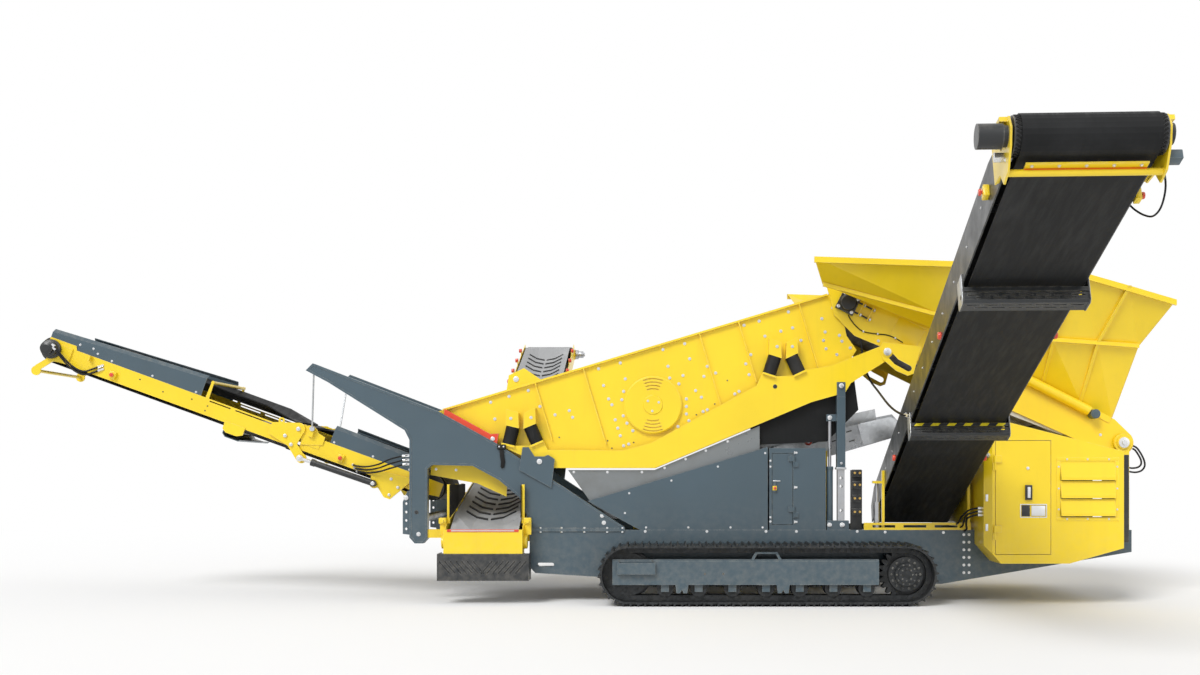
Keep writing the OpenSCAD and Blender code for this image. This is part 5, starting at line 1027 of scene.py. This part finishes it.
def makeFines():
    end = underSet["end"]
    cheek, skirt = ([(end + x, z) for x, z in underSet[name]] for name in ("cheek", "skirt"))
    makePiece("finesSkirts", "galvanised", {
        "plates": [(cheek, 0.534, 0.543, 0.003), (skirt, 0.534, 0.541, 0.002)], "place": finesPlace})
    makePiece("finesSlots", "dark_steel", {
        "blocks": [((end - x - 0.035, 0.534, z - 0.008), (end - x + 0.035, 0.5375, z + 0.008), 0.001)
                   for x, z in underSet["slots"]], "place": finesPlace})
    makePiece("finesRollerCaps", "red_paint", {
        "rounds": [((2.477, 0.534, 0.120), (2.477, 0.585, 0.120), 0.047,
            {"tip": 0.041, "sides": 22, "bevelBy": 0.005})],
        "place": finesPlace})


def makePosts():
    leg = underSet["leg"]
    makePiece("legCollars", "galvanised", {
        "rounds": [((2.477, 0.584, 0.120), (2.477, 0.590, 0.120), 0.018, {"sides": 14})],
        "place": finesPlace}, {
        "blocks": [((2.952, 0.83, 1.566), (3.072, 0.95, 1.592), 0.004)],
        "bolts": sideBolts([(2.975, 1.579), (3.049, 1.579)], 0.950, 0.010),
        "rounds": [((3.012, 0.93, 1.640), (3.012, 0.962, 1.640), 0.016, {"sides": 14, "bevelBy": 0.003})]})
    makePiece("liftSleeves", "slate_paint", {
        "rounds": [((leg, 0.89, 0.962), (leg, 0.89, 1.560), 0.0385, {"sides": 28, "bevelBy": 0.003}),
                   ((leg, 0.89, 1.558), (leg, 0.89, 1.602), 0.043, {"sides": 28, "bevelBy": 0.005})]})


def makeValves():
    makePiece("valveBank", "dark_steel", {
        "blocks": [((3.125, -0.905, 0.848), (3.265, -0.893, 1.56), 0.003)]
        + [((3.140, -0.965, z), (3.250, -0.904, z + 0.085), 0.006) for z in underSet["valves"]],
        "sides": asDrawn})
    makePiece("valveFittings", "brass", {
        "rounds": [((x, start, z + 0.045), (x, end, z + 0.045), radius, {"sides": count})
                   for z in underSet["valves"] for x in underSet["ports"]
                   for start, end, radius, count in ((-0.963, -1.000, 0.015, 6),
                       (-0.998, -1.012, 0.010, 12))],
        "sides": asDrawn})
    makePiece("strapLatch", "spring_rubber", {
        "blocks": [((-1.062, -0.978, 1.800), (-0.958, -0.946, 1.862), 0.010)],
        "plates": [(underSet["strap"], -0.966, -0.949, 0.004)], "sides": asDrawn})
    makePiece("strapBolts", "zinc", {
        "bolts": [((x, -0.978, 1.836), (0, -1, 0), 0.010) for x in (-1.036, -0.984)], "sides": asDrawn})


makeFines()
makePosts()
makeValves()

# wire cloth on the top deck

clothSet = {"start": 0.16, "end": 4.74, "half": 0.775, "pitch": 0.034, "wire": 0.0035, "level": -0.296,
    "over": 0.005}


def makeCloth():
    form = bmesh.new()
    start, end, half, pitch = (clothSet[name] for name in ("start", "end", "half", "pitch"))
    under, over = clothSet["level"], clothSet["level"] + clothSet["over"]
    for spot in range(int((end - start) / pitch) + 1):
        x = start + spot * pitch
        addRound(form, (x, -half, under), (x, half, under), clothSet["wire"], screenPlace, sides=5)
    for spot in range(int(2 * half / pitch) + 1):
        y = -half + spot * pitch
        addRound(form, (start, y, over), (end, y, over), clothSet["wire"], screenPlace, sides=5)
    finishPiece("deckCloth", form, "screen_steel")


makeCloth()

# crawler links and final drive bolts

trackSet = {"x": 2.100, "middle": 1.250, "z": 0.360, "run": 3.180, "path": 0.320, "shoes": 50,
    "railOut": 0.0945,
            "bossIn": 0.276, "bossOut": 0.012, "boss": 0.027, "padIn": 0.280, "pad": (0.026, 0.008, 0.022),
            "drive": (3.690, 0.360), "rings": ((14, 0.165, 1.380, 0.014), (10, 0.112, 1.430, 0.010),
                (8, 0.068, 1.448, 0.010))}


def loopSpot(share, radius):
    run, arc = trackSet["run"], math.pi * trackSet["path"]
    s = share * (2 * run + 2 * arc)
    if s < run:
        return s - run / 2, -radius, -90.0
    if s < run + arc:
        a = (s - run) / arc * math.pi - math.pi / 2
        return run / 2 + radius * math.cos(a), radius * math.sin(a), math.degrees(a)
    if s < 2 * run + arc:
        return run / 2 - (s - run - arc), radius, 90.0
    a = (s - 2 * run - arc) / arc * math.pi + math.pi / 2
    return -run / 2 + radius * math.cos(a), radius * math.sin(a), math.degrees(a)


def makeTracks():
    form = bmesh.new()
    middle = Vector((trackSet["x"], 0, trackSet["z"]))
    long, deep, tall = trackSet["pad"]
    for side in sides:
        for face in sides:
            rail = side * trackSet["middle"] + face * trackSet["railOut"]
            for shoe in range(trackSet["shoes"]):
                x, z, _ = loopSpot((shoe + 0.35) / trackSet["shoes"], trackSet["bossIn"])
                at = middle + Vector((x, rail, z))
                addRound(form, at, at + Vector((0, face * trackSet["bossOut"], 0)), trackSet["boss"],
                    sides=10)
                x, z, angle = loopSpot((shoe + 0.85) / trackSet["shoes"], trackSet["padIn"])
                place = moveTo(*(middle + Vector((x, rail, z)))) @ turn(90 - angle, "Y")
                addBlock(form, (-long, 0, -tall), (long, face * deep, tall), place)
    finishPiece("trackLinks", form, "track_steel")
    x, z = trackSet["drive"]
    rows = sideBolts([(1.38, 0.37), (1.59, 0.37)], 1.440, 0.014)
    rows += [((spot, 1.470, 0.520), (0, 0, 1), 0.013) for spot in (0.40, 0.78)]
    for count, radius, face, size in trackSet["rings"]:
        angles = [math.tau * spot / count for spot in range(count)]
        rows += sideBolts([(x + radius * math.cos(a), z + radius * math.sin(a)) for a in angles], face, size)
    makePiece("driveBolts", "dark_steel", {"bolts": rows})


makeTracks()
print("deck, crawlers and small steel done")
